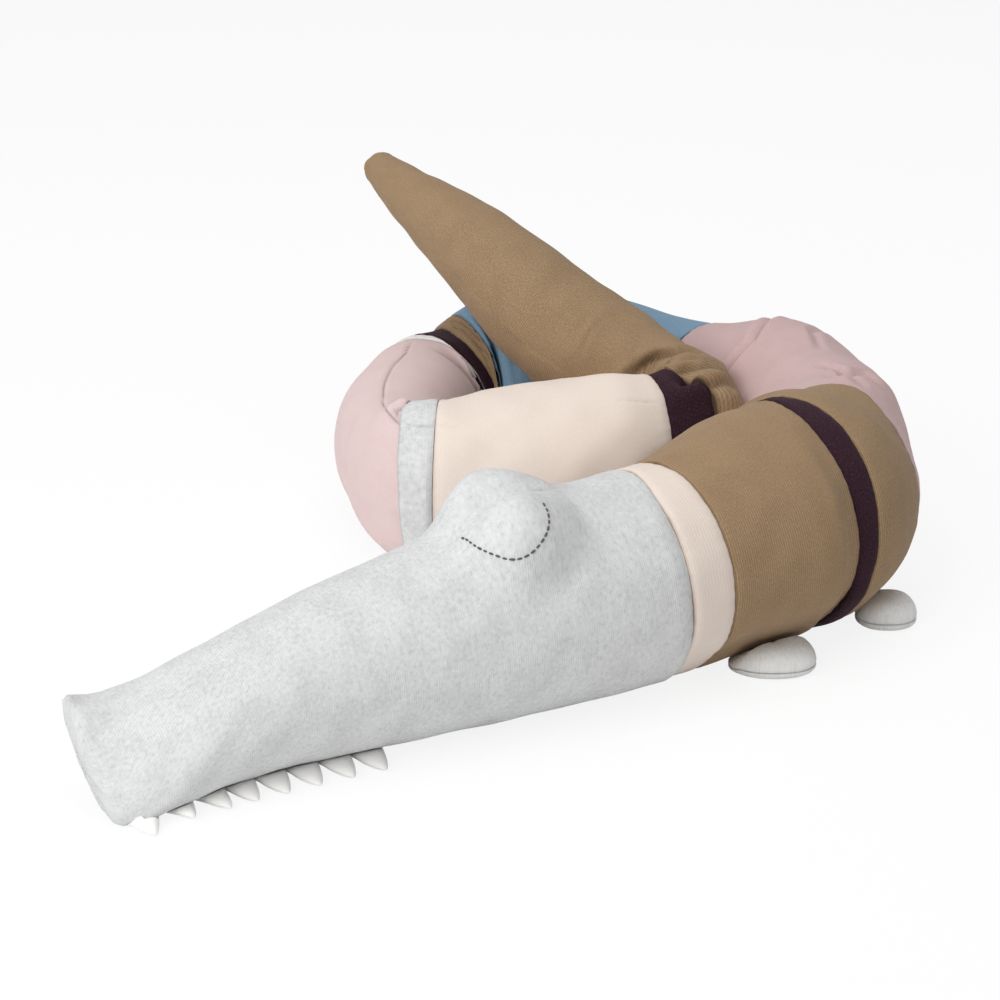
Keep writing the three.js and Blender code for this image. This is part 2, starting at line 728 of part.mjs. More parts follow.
// The origin lies on the floor under the middle of the cushion's box
const bounds = new THREE.Box3().setFromObject(cushion);
const middle = bounds.getCenter(new THREE.Vector3());
cushion.position.set(-middle.x, -middle.y, 0);

export default cushion;
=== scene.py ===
import math

import bmesh
import bpy
import numpy as np
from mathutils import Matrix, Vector
from mathutils.bvhtree import BVHTree


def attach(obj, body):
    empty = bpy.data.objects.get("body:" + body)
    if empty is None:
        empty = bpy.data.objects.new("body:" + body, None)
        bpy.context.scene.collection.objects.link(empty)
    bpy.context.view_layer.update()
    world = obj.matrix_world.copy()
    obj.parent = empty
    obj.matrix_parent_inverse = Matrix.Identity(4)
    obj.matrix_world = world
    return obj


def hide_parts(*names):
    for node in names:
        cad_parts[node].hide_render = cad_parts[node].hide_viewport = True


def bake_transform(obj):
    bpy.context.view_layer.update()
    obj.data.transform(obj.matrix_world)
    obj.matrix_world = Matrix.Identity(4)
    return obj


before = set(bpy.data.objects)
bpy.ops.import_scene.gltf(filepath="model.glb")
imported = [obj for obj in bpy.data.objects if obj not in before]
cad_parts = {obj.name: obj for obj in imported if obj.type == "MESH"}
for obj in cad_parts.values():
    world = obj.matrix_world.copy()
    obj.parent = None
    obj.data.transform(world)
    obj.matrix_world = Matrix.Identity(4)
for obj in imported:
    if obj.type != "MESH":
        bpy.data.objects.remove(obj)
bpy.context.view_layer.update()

# A knitted crocodile cushion, lying coiled on itself. Metres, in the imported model's own frame: +Z is up,
# the floor is z = 0 and the snout points towards -X and -Y.

# The line of the body

body = {
    "length": 2.043,
    "thickness": 0.16,
    "lineStart": (-0.293364, -0.339131),
    "floorCut": 0.0005,
    "ringSides": 18,
    "ringSpacing": 0.038,
    "coarsestTurn": 16,
    "bendReach": 0.17,
    "innerBendShare": 0.92,
    "snoutHeading": 31.7,
    "snoutWidth": 0.104,
    "snoutHeight": 0.024,
    "snoutRoll": 37,
    "snoutBulge": 0.007,
    "tailBulge": 0.013,
    "seamGap": 0.0003,
}

# Stretch by stretch from the snout: panel, share of the length, turn in degrees, then as parts of the
# thickness width, height and lift, then roll in degrees, spacing, swell and tilt
stretchRows = [
    ("head_cover", 0.0201, -2, 0.725, 0.375, 0, 14, 0.55, 0, 0),
    ("head_cover", 0.0333, -2, 0.744, 0.581, 0, 2, 1, 0, 0),
    ("head_cover", 0.0578, -3, 0.881, 0.8, 0, 0, 0.79, 0, 0),
    ("head_cover", 0.1018, 5.5, 1.031, 0.994, 0, 0, 0.42, 0, 0),
    ("collar_band", 0.0122, 4.5, 1.012, 1, 0, 0, 1, 0, 0),
    ("brown_front_panel", 0.0538, 4.5, 1.163, 1.137, 0, 0, 1, 0.015, 0),
    ("aubergine_front_band", 0.0103, 12, 1.137, 1.15, 0, 0, 1, 0, 0),
    ("brown_second_panel", 0.0475, 34, 0.85, 1.025, 0, 0, 1, 0, 0),
    ("pink_right_panel", 0.0768, 32.5, 0.875, 0.988, 0, 0, 1, 0, 0),
    ("pink_right_panel", 0.047, 22.5, 0.812, 0.8, 0, 0, 1, 0, 0),
    ("blue_back_panel", 0.1052, 67.5, 0.794, 0.806, 0, 0, 1, 0.02, 0),
    ("brown_fold_panel", 0.0073, 10, 0.756, 0.738, 0, 0, 1, 0, 0),
    ("aubergine_back_band", 0.0142, 19, 0.756, 0.756, 0, 0, 1, 0, 0),
    ("white_band", 0.0044, 7, 0.756, 0.75, 0, 0, 1, 0, 0),
    ("pink_left_panel", 0.0485, 21, 0.688, 0.762, 0, 0, 1, 0, 0),
    ("pink_left_panel", 0.0362, 14.5, 0.675, 0.8, 0, 0, 1, 0, 0),
    ("pink_left_panel", 0.0166, 66, 0.85, 0.863, 0, 0, 1, 0, 0),
    ("grey_band", 0.0093, 13, 0.863, 0.85, 0.025, 0, 1, 0, 0),
    ("peach_panel", 0.0837, 18.5, 0.775, 0.738, 0.219, 0, 1, 0, 0),
    ("aubergine_tail_band", 0.0127, 27.5, 0.637, 0.662, 0.287, 0, 1, 0, 0),
    ("tail_cover", 0.0201, 90, 0.512, 0.613, 0.388, 0, 1, 0, 0.5),
    ("tail_cover", 0.0411, 12.5, 0.65, 0.637, 0.531, 0, 1, 0, 1),
    ("tail_cover", 0.0759, -13, 0.475, 0.45, 1.05, 0, 1, 0, 1),
    ("tail_cover", 0.0641, -9.5, 0.2, 0.188, 1.406, 0, 1, 0, 1),
]

eyes = {"along": 0.316, "fromTop": 19, "radius": 0.054, "height": 0.031}

degree = math.pi / 180
shareSum = sum(row[1] for row in stretchRows)
knots = np.concatenate([[0], np.cumsum([row[1] for row in stretchRows])]) * body["length"] / shareSum


# A cubic through values at uneven knots, with slopes that suit the spacing
def cubicThrough(places, values, at):
    places = np.asarray(places, float)
    values = np.asarray(values, float)
    at = np.atleast_1d(np.asarray(at, float))
    tail = (1,) * (values.ndim - 1)
    spans = np.diff(places)
    rises = np.diff(values, axis=0) / spans.reshape(-1, *tail)
    slopes = np.empty_like(values)
    slopes[0], slopes[-1] = rises[0], rises[-1]
    before = spans[:-1].reshape(-1, *tail)
    after = spans[1:].reshape(-1, *tail)
    slopes[1:-1] = (rises[:-1] * after + rises[1:] * before) / (before + after)
    i = np.clip(np.searchsorted(places, at) - 1, 0, len(spans) - 1)
    span = spans[i].reshape(-1, *tail)
    t = ((at - places[i]) / spans[i]).reshape(-1, *tail)
    fromStart = 2 * t**3 - 3 * t**2 + 1
    startSlope = (t**3 - 2 * t**2 + t) * span * slopes[i]
    endSlope = (t**3 - t**2) * span * slopes[i + 1]
    return fromStart * values[i] + startSlope + (1 - fromStart) * values[i + 1] + endSlope


# How far a ring may reach on one side before it meets the rings near it, on the inside of a bend
def roomInBend(alongs, centres, lefts, side):
    rooms = np.full(len(alongs), np.inf)
    for i, centre in enumerate(centres):
        away = centres - centre
        sideways = away @ lefts[i] * side
        near = (np.abs(alongs - alongs[i]) < body["bendReach"]) & (sideways > 0)
        if near.any():
            squares = (away[near] ** 2).sum(1)
            rooms[i] = (body["innerBendShare"] * squares / (2 * sideways[near])).min()
    return rooms


# The rings that the model's own solids are lofted through
def layOutStations():
    thick = body["thickness"]

    def valueAt(column, start, along):
        return cubicThrough(knots, [start] + [row[column] * thick for row in stretchRows], along)[0]

    rows = []

    def addRow(along, row, share, heading, tilt):
        swell = 1 + row[8] * math.sin(math.pi * share)
        halfWidth = valueAt(3, body["snoutWidth"], along) * swell / 2
        halfHeight = valueAt(4, body["snoutHeight"], along) * swell / 2
        roll = valueAt(6, body["snoutRoll"] * thick, along) / thick * degree
        reachDown = math.hypot(halfWidth * math.sin(roll), halfHeight * math.cos(roll))
        lift = max(valueAt(5, 0, along), 0)
        height = lift + reachDown * math.cos(math.pi / body["ringSides"]) - body["floorCut"]
        rows.append([along, heading, halfWidth, halfHeight, roll, height, tilt])

    heading = body["snoutHeading"] * degree
    addRow(0, stretchRows[0], 0, heading, stretchRows[0][9])
    ends = []
    for index, row in enumerate(stretchRows):
        length = knots[index + 1] - knots[index]
        byLength = math.ceil(length / (body["ringSpacing"] * row[7]))
        steps = max(byLength, math.ceil(abs(row[2]) / body["coarsestTurn"]), 1)
        tiltBefore = stretchRows[index - 1][9] if index else 0
        for step in range(1, steps + 1):
            share = step / steps
            heading += row[2] * degree / steps
            tilt = tiltBefore + (row[9] - tiltBefore) * share
            addRow(knots[index] + length * share, row, share, heading, tilt)
        ends.append(len(rows) - 1)
    table = np.array(rows)
    along, headings, halfWidth, halfHeight, rolls, height, tilts = table.T
    climbs = np.diff(height)
    flats = np.sqrt(np.diff(along) ** 2 - climbs**2)
    middles = (headings[1:] + headings[:-1]) / 2
    x = np.concatenate([[0], np.cumsum(flats * np.cos(middles))]) + body["lineStart"][0]
    y = np.concatenate([[0], np.cumsum(flats * np.sin(middles))]) + body["lineStart"][1]
    rise = np.arctan2(climbs, flats)
    rise = np.concatenate([[rise[0]], rise])
    lean = tilts * (rise + np.append(rise[1:], rise[-1])) / 2
    line = {
        "along": along,
        "heading": headings,
        "lean": lean,
        "roll": rolls,
        "halfHeight": halfHeight,
        "centre": np.stack([x, y, height], 1),
    }
    addDirections(line)
    for key, side in (("halfLeft", 1), ("halfRight", -1)):
        room = roomInBend(along, line["centre"], line["left"], side)
        line[key] = np.minimum(halfWidth, room)
    line["halfWidth"] = halfWidth
    return line, ends


def addDirections(line):
    cosine, sine = np.cos(line["heading"]), np.sin(line["heading"])
    flat = np.stack([cosine, sine, 0 * sine], 1)
    line["left"] = np.stack([-sine, cosine, 0 * sine], 1)
    lean = line["lean"][:, None]
    line["forward"] = flat * np.cos(lean) + np.array([0, 0, 1]) * np.sin(lean)
    line["up"] = np.array([0, 0, 1]) * np.cos(lean) - flat * np.sin(lean)


stations, stretchEnds = layOutStations()
panelEnds = {}
for row, end in zip(stretchRows, stretchEnds):
    panelEnds[row[0]] = end
panelNames = list(panelEnds)
seamAlong = np.array([0] + [stations["along"][panelEnds[name]] for name in panelNames])
print("line laid out,", len(stations["along"]), "stations,", round(stations["along"][-1], 4), "m")

# Rings and sides of the skin first, then the finer places that each panel is read at
mesh = {"ringStep": 0.0055, "sides": 96, "capRings": 7, "leastInner": 0.8, "fineStep": 0.0026,
        "seamSteps": (0, 0.0006, 0.0014, 0.0026, 0.0042, 0.0062), "shortPlaces": 9}
# The lowest that any point of the knit may lie
floorHeight = 0.0003


# The same line with rings every few millimetres, one of them on each seam
def fineLine():
    places = []
    for start, end in zip(seamAlong[:-1], seamAlong[1:]):
        steps = max(round((end - start) / mesh["ringStep"]), 2)
        places.extend(np.linspace(start, end, steps, endpoint=False))
    places = np.array(places + [seamAlong[-1]])
    line = {"along": places}
    for key in ("heading", "lean", "roll", "halfHeight", "halfWidth", "centre"):
        line[key] = cubicThrough(stations["along"], stations[key], places)
    addDirections(line)
    for key, side in (("halfLeft", 1), ("halfRight", -1)):
        room = roomInBend(places, line["centre"], line["left"], side)
        coarse = np.interp(places, stations["along"], stations[key])
        line[key] = np.minimum(coarse, np.maximum(room, coarse * mesh["leastInner"]))
    return line


def eyeBump(along, halfHeight, angle):
    lifted = np.zeros(np.broadcast(along, angle).shape)
    for side in (-1, 1):
        across = (angle - (math.pi / 2 + side * eyes["fromTop"] * degree)) * halfHeight
        distance = np.hypot(along - eyes["along"], across) / eyes["radius"]
        bump = eyes["height"] * np.cos(np.minimum(distance, 1) * math.pi / 2) ** 2
        lifted = np.maximum(lifted, bump)
    return lifted


# Points of the skin. Angles run from the left side over the top, and the underside lies flat on the floor.
def skinPoints(line, angles, inset=0.0):
    def column(key):
        return line[key][:, None]

    angle = angles[None, :]
    bump = eyeBump(column("along"), column("halfHeight"), angle)
    halfWidth = np.where(np.cos(angle) > 0, column("halfLeft"), column("halfRight"))
    across = np.cos(angle) * (halfWidth + bump - inset)
    over = np.sin(angle) * (column("halfHeight") + bump - inset)
    roll = column("roll")
    sideways = (across * np.cos(roll) - over * np.sin(roll))[..., None]
    upwards = (across * np.sin(roll) + over * np.cos(roll))[..., None]
    return line["centre"][:, None] + sideways * line["left"][:, None] + upwards * line["up"][:, None]


line = fineLine()
sides = mesh["sides"]
angles = np.arange(sides) * 2 * math.pi / sides
skin = skinPoints(line, angles)


# Rings that round an end off towards its pole
def roundedEnd(index, bulge, direction):
    base = skin[index]
    centre, forward = line["centre"][index], line["forward"][index]
    rings = []
    for k in range(1, mesh["capRings"]):
        turn = k / mesh["capRings"] * math.pi / 2
        ring = centre + (base - centre) * math.cos(turn) + forward * direction * bulge * math.sin(turn)
        rings.append(ring)
    return rings, centre + forward * direction * bulge


noseRings, nosePole = roundedEnd(0, body["snoutBulge"], -1)
tailRings, tailPole = roundedEnd(-1, body["tailBulge"], 1)
skin = np.concatenate([noseRings[::-1], skin, tailRings])
capShares = np.sin(np.arange(1, mesh["capRings"]) / mesh["capRings"] * math.pi / 2)
skinAlong = np.concatenate([-body["snoutBulge"] * capShares[::-1], line["along"],
                            line["along"][-1] + body["tailBulge"] * capShares])
skin[..., 2] = np.maximum(skin[..., 2], floorHeight)
print("skin laid out,", skin.shape[0], "rings of", sides)


# Dents where one part of the body lies against a larger part

dent = {"clearance": 0.0008, "leastShare": 0.15, "pole": 1e-6}


# The faces between rings that close on themselves
def gridFaces(rings, sideCount):
    i, j = np.meshgrid(np.arange(rings - 1), np.arange(sideCount), indexing="ij")
    here, beside = i * sideCount + j, i * sideCount + (j + 1) % sideCount
    return np.stack([here, beside, beside + sideCount, here + sideCount], -1).reshape(-1, 4).tolist()


# The same with a fan to a pole at each end
def closedFaces(rings, sideCount):
    faces = gridFaces(rings, sideCount)
    last, startPole = (rings - 1) * sideCount, rings * sideCount
    for j in range(sideCount):
        beside = (j + 1) % sideCount
        faces.append([beside, j, startPole])
        faces.append([last + j, last + beside, startPole + 1])
    return faces


def closedMesh(name, grid, startPole, endPole):
    data = bpy.data.meshes.new(name)
    vertices = np.concatenate([grid.reshape(-1, 3), [startPole], [endPole]])
    data.from_pydata(vertices.tolist(), [], closedFaces(*grid.shape[:2]))
    return data


def addObject(name, data):
    made = bpy.data.objects.new(name, data)
    bpy.context.scene.collection.objects.link(made)
    return made


# A stretch of the skin as a closed form that a ray can meet: its grid, then one end and the other
def treeOf(first, last):
    part = skin[first : last + 1]
    vertices = np.concatenate([part.reshape(-1, 3), [part[0].mean(0)], [part[-1].mean(0)]])
    pole = len(part) * sides
    end = pole - sides
    faces = gridFaces(len(part), sides)
    faces += [[pole, (j + 1) % sides, j] for j in range(sides)]
    faces += [[end + j, end + (j + 1) % sides, pole + 1] for j in range(sides)]
    return BVHTree.FromPolygons([Vector(v) for v in vertices], faces)


def ringAt(along):
    return int(np.abs(skinAlong - along).argmin())


seamRing = [0] + [ringAt(along) for along in seamAlong[1:-1]] + [len(skin) - 1]
panelRings = {name: (seamRing[i], seamRing[i + 1]) for i, name in enumerate(panelNames)}


def runOf(first, last):
    return panelRings[first][0], panelRings[last][1]


headEnd = runOf("head_cover", "brown_second_panel")
coilRing = runOf("pink_right_panel", "white_band")
wholeRing = runOf("pink_right_panel", "pink_left_panel")
tailRoot = runOf("peach_panel", "aubergine_tail_band")
pressedBy = [
    ("pink_left_panel", "pink_left_panel", [headEnd]),
    ("grey_band", "aubergine_tail_band", [headEnd, coilRing]),
    ("tail_cover", "tail_cover", [headEnd, wholeRing, tailRoot]),
]


# A skin point that lies in a presser comes back along the line from its ring's centre to just outside it
def dentBy(first, last, presser):
    tree = treeOf(*presser)
    clearance = dent["clearance"]
    moved = 0
    for i in range(first, last + 1):
        centre = Vector(skin[i].mean(0))
        for j in range(sides):
            outward = Vector(skin[i, j]) - centre
            reach = outward.length
            if reach < dent["pole"]:
                continue
            outward.normalize()
            hit, normal, face, distance = tree.ray_cast(centre, outward, reach + clearance)
            if hit is not None and normal.dot(outward) < 0:
                skin[i, j] = centre + outward * max(distance - clearance, reach * dent["leastShare"])
                moved += 1
    return moved


def pressAll():
    for first, last, pressers in pressedBy:
        moved = [dentBy(*runOf(first, last), presser) for presser in pressers]
        print("dented", first, "to", last, "at", moved, "points")


pressAll()
skin[..., 2] = np.maximum(skin[..., 2], floorHeight)

# Where the knit runs evenly: over the edge of the nose, on the outside of the front of the body and of the
# left bend, and from the peach panel on to the tail
smoothings = [
    {"from": -0.03, "to": 0.05, "middle": 180, "reach": 400, "rounds": 5},
    {"from": 0.55, "to": 0.61, "middle": 150, "reach": 90, "rounds": 8},
    {"from": 1.33, "to": 1.425, "middle": 180, "reach": 75, "rounds": 60},
    {"from": 1.555, "to": 1.64, "middle": 140, "reach": 38, "rounds": 25},
]
softening = {"fadeIn": 0.02, "fadeOut": 0.012, "fadeRound": 1.3, "share": 0.5, "alongShare": 0.7}


# 1 round the middle of a place, fading to 0 a little beyond its reach in degrees
def turnMask(values):
    away = np.abs(np.arange(sides) * 360 / sides - values["middle"])
    return np.clip(softening["fadeRound"] - away / values["reach"], 0, 1)


def softenSkin(points, values):
    starting = np.clip((skinAlong - values["from"]) / softening["fadeIn"], 0, 1)
    alongMask = starting * np.clip((values["to"] - skinAlong) / softening["fadeOut"], 0, 1)
    softened = (alongMask[:, None] * turnMask(values)[None, :])[..., None] * softening["share"]
    share = softening["alongShare"]
    for step in range(values["rounds"]):
        around = (np.roll(points, 1, axis=1) + np.roll(points, -1, axis=1)) / 2
        alongside = points.copy()
        alongside[1:-1] = (points[2:] + points[:-2]) / 2
        points = points + softened * (alongside * share + around * (1 - share) - points)
    return points


for values in smoothings:
    skin = softenSkin(skin, values)

# How far the seam behind a panel wanders along the body: degrees round it, then millimetres
seamDrift = {
    "head_cover": ([40, 78, 107, 148, 190, 208, 240, 300], [0, 1, -6, -6.5, -5, -6, -3, 0]),
    "brown_front_panel": ([30, 58, 75, 96, 121, 178, 219, 260], [4, 13, 10, 1.5, 0, 1.5, 2.5, 0]),
    "aubergine_front_band": ([30, 60, 78, 99, 118, 140, 163, 200, 250, 300],
                             [4, 6, -1, -1, -3.2, -6.7, -9, -10.5, -5, 0]),
    "brown_second_panel": ([10, 45, 65, 85, 106, 120, 136, 151, 180, 202, 230, 280],
                           [-6, -22, -24, -13, -4, -18, -36, -47, -50, -42, -25, -5]),
    "blue_back_panel": ([0, 24, 35, 54, 70, 91, 130], [0, 0, -0.5, 2.1, 3.8, 3.3, 0]),
    "brown_fold_panel": ([0, 28, 39, 57, 77, 104, 129, 200], [0, -1.6, 0.8, 4.7, 5, 0, -3.6, 0]),
    "aubergine_back_band": ([0, 30, 46, 60, 72, 87, 112, 200],
                            [2.4, 5, 2.8, 3.2, 2, -3.5, -3.2, 0]),
    "white_band": ([0, 30, 46, 67, 86, 117, 200], [-5.4, -3.1, -5.2, -4.8, -3.6, -3.1, 0]),
    "pink_left_panel": ([0, 30, 60, 93, 117, 134, 165, 200], [-2, -5, -9, -11, -5, -3, -1.3, 0]),
    "grey_band": ([40, 90, 200, 260], [0, -1.8, -2, 0]),
    "peach_panel": ([60, 90, 120, 180], [0, 3, 3, 0]),
    "aubergine_tail_band": ([70, 98, 112, 128, 150, 200], [0, 1, 5, 8, 4, 0]),
}


# Degrees between the places where a seam's drift is rounded, and how many on each side are averaged
driftStep, driftRounding = 3, 2


def driftOf(name, degreesRound):
    if name not in seamDrift:
        return np.zeros(len(degreesRound))
    turns, shifts = seamDrift[name]
    fineTurns = np.arange(0, 360, driftStep)
    shift = np.interp(fineTurns, turns, shifts, period=360)
    shift = np.mean([np.roll(shift, k) for k in range(-driftRounding, driftRounding + 1)], axis=0)
    return np.interp(degreesRound, fineTurns, shift, period=360) / 1000


# The stuffing, by cloth simulation. As it is set here it moves the knit by 0.1 mm at most

stuffing = {"frames": 20, "quality": 5, "pressure": 4, "mass": 0.3, "tension": 12, "compression": 12,
            "bending": 0.5, "holdMiddle": 0.36, "holdSeam": 0.85, "seamReach": 0.018, "holdFloor": 0.8,
            "floorReach": 0.002, "holdPoles": 0.9, "levels": 40, "pinStiffness": 1.0, "slack": -0.6,
            "slackFrom": 0.15, "slackTo": 0.7, "slackEase": 0.35, "slackRings": 4, "cap": 0.008}


# How much shorter the knit's way is here than on the outside of the same bend, 0 to 1
def bendSlack():
    steps = np.linalg.norm(np.diff(skin, axis=0), axis=2)
    steps = np.concatenate([steps[:1], (steps[1:] + steps[:-1]) / 2, steps[-1:]])
    beside = stuffing["slackRings"]
    kernel = np.exp(-np.linspace(-2, 2, 2 * beside + 1) ** 2)
    kernel /= kernel.sum()
    padded = np.pad(steps, ((beside, beside), (0, 0)), mode="edge")
    smooth = sum(share * padded[k : k + len(steps)] for k, share in enumerate(kernel))
    shortness = 1 - smooth / np.maximum(smooth.max(axis=1, keepdims=True), 1e-9)
    return np.clip((shortness - stuffing["slackFrom"]) / (stuffing["slackTo"] - stuffing["slackFrom"]), 0, 1)


def fillGroup(cover, name, weights):
    group = cover.vertex_groups.new(name=name)
    levels = np.round(weights * stuffing["levels"]) / stuffing["levels"]
    for level in np.unique(levels):
        if level > 0:
            group.add(np.nonzero(levels == level)[0].tolist(), float(level), "REPLACE")
    return group


def simulateStuffing():
    cover = addObject("stuffing", closedMesh("stuffing", skin, nosePole, tailPole))
    turns = np.arange(sides) * 360 / sides
    seams = np.array([seamAlong[i + 1] + driftOf(name, turns) for i, name in enumerate(panelNames[:-1])])
    toSeam = np.abs(skinAlong[:, None, None] - seams.T[None]).min(2)
    nearSeam = np.exp(-((toSeam / stuffing["seamReach"]) ** 2))
    hold = stuffing["holdMiddle"] + (stuffing["holdSeam"] - stuffing["holdMiddle"]) * nearSeam
    slack = bendSlack()
    hold = hold * (1 - stuffing["slackEase"] * slack)
    low = skin[..., 2] < stuffing["floorReach"]
    hold = np.where(low, np.maximum(hold, stuffing["holdFloor"]), hold)
    fillGroup(cover, "held", np.append(hold.ravel(), [stuffing["holdPoles"]] * 2))
    fillGroup(cover, "slack", np.append(slack.ravel(), [0, 0]))
    modifier = cover.modifiers.new("stuffing", "CLOTH")
    settings = modifier.settings
    settings.quality = stuffing["quality"]
    settings.mass = stuffing["mass"]
    settings.tension_stiffness = stuffing["tension"]
    settings.compression_stiffness = stuffing["compression"]
    settings.bending_stiffness = stuffing["bending"]
    settings.use_pressure = True
    settings.uniform_pressure_force = stuffing["pressure"]
    settings.effector_weights.gravity = 0
    settings.vertex_group_mass = "held"
    settings.pin_stiffness = stuffing["pinStiffness"]
    settings.vertex_group_shrink = "slack"
    settings.shrink_min = 0
    settings.shrink_max = stuffing["slack"]
    modifier.collision_settings.use_collision = False
    modifier.point_cache.frame_start = 1
    modifier.point_cache.frame_end = stuffing["frames"]
    scene = bpy.context.scene
    for step in range(1, stuffing["frames"] + 1):
        scene.frame_set(step)
    graph = bpy.context.evaluated_depsgraph_get()
    settled = cover.evaluated_get(graph).data
    found = np.empty(len(settled.vertices) * 3)
    settled.vertices.foreach_get("co", found)
    cover.modifiers.clear()
    bpy.data.objects.remove(cover)
    scene.frame_set(1)
    moved = found.reshape(-1, 3)[: skin.shape[0] * sides].reshape(skin.shape) - skin
    far = np.linalg.norm(moved, axis=2, keepdims=True)
    cap = stuffing["cap"]
    print("stuffing moved the knit", round(float(np.median(far)) * 1000, 2), "mm in the middle,",
          round(float(far.max()) * 1000, 1), "mm at most")
    return moved * (cap * np.tanh(far / cap) / np.maximum(far, 1e-9))


skin = skin + simulateStuffing()
skin[..., 2] = np.maximum(skin[..., 2], floorHeight)
pressAll()

# The knit bridges the fold where the tail turns back, as its filling pushes it out there
bridge = {"from": 1.609, "to": 1.656, "middle": 88, "reach": 26, "softenFrom": 1.59, "softenTo": 1.675,
          "rounds": 5}


def bridgeFold(points, values):
    first, last = (int(np.argmin(np.abs(skinAlong - values[key]))) for key in ("from", "to"))
    span = slice(first, last + 1)
    share = ((skinAlong[span] - skinAlong[first]) / (skinAlong[last] - skinAlong[first]))[:, None, None]
    chord = points[first] * (1 - share) + points[last] * share
    mask = turnMask(values)
    mask = (mask**2 * (3 - 2 * mask))[None, :, None]
    bridged = points.copy()
    bridged[span] += mask * (chord - points[span])
    return bridged


skin = bridgeFold(skin, bridge)
skin = softenSkin(skin, {**bridge, "from": bridge["softenFrom"], "to": bridge["softenTo"]})

# One closed piece for each panel

pieces = {}
panelSides = sides * 2
spareRings = 12


def denserAround(points):
    before, after = np.roll(points, 1, axis=1), np.roll(points, -1, axis=1)
    further = np.roll(points, -2, axis=1)
    middle = (-before + 9 * points + 9 * after - further) / 16
    out = np.empty((points.shape[0], points.shape[1] * 2, points.shape[2]))
    out[:, 0::2], out[:, 1::2] = points, middle
    return out


def seamPlaces(start, end, atStart, atEnd):
    near, step = np.array(mesh["seamSteps"]), mesh["fineStep"]
    middleStart = start + (near[-1] if atStart else 0)
    middleEnd = end - (near[-1] if atEnd else 0)
    if middleEnd - middleStart < step:
        return np.linspace(start, end, mesh["shortPlaces"])
    count = max(round((middleEnd - middleStart) / step), 1)
    places = np.linspace(middleStart, middleEnd, count + 1)
    if atStart:
        places = np.concatenate([start + near[:-1], places])
    if atEnd:
        places = np.concatenate([places, end - near[-2::-1]])
    return places


def gridNormals(points):
    alongStep = np.gradient(points, axis=0)
    aroundStep = np.roll(points, -1, axis=1) - np.roll(points, 1, axis=1)
    normals = np.cross(aroundStep, alongStep)
    lengths = np.linalg.norm(normals, axis=2, keepdims=True)
    return normals / np.maximum(lengths, 1e-12)


# Seams: how deep and wide each sinks, its puckers and their wandering, the painted shade along it, and how
# its edge turns in
seam = {"depth": 0.0012, "width": 0.0026, "puckerHeight": 0.0002, "puckerLength": 0.0115,
        "puckerReach": 0.008, "shadeWidth": 0.0008, "shade": 0.42, "wanderPitch": 0.05, "wander": 1.54,
        "shortPanel": 0.12, "turnedIn": (0, 0.003, 0.008), "turnedMost": 0.5, "turnedEnd": 0.35}
# The knit's own unevenness, how a fold fades at its ends and rises beside itself, how wide its painted shade
# is, and the floor's flattening
relief = {"height": 0.00045, "pitch": 0.045, "waves": 10, "otherSeed": 40, "fade": 0.75, "fadeReach": 2.5,
          "ridge": 0.3, "ridgeAway": 2.1, "ridgeWidth": 1.1, "shadeWidth": 0.42, "flatBelow": 0.001,
          "fullAbove": 0.004}
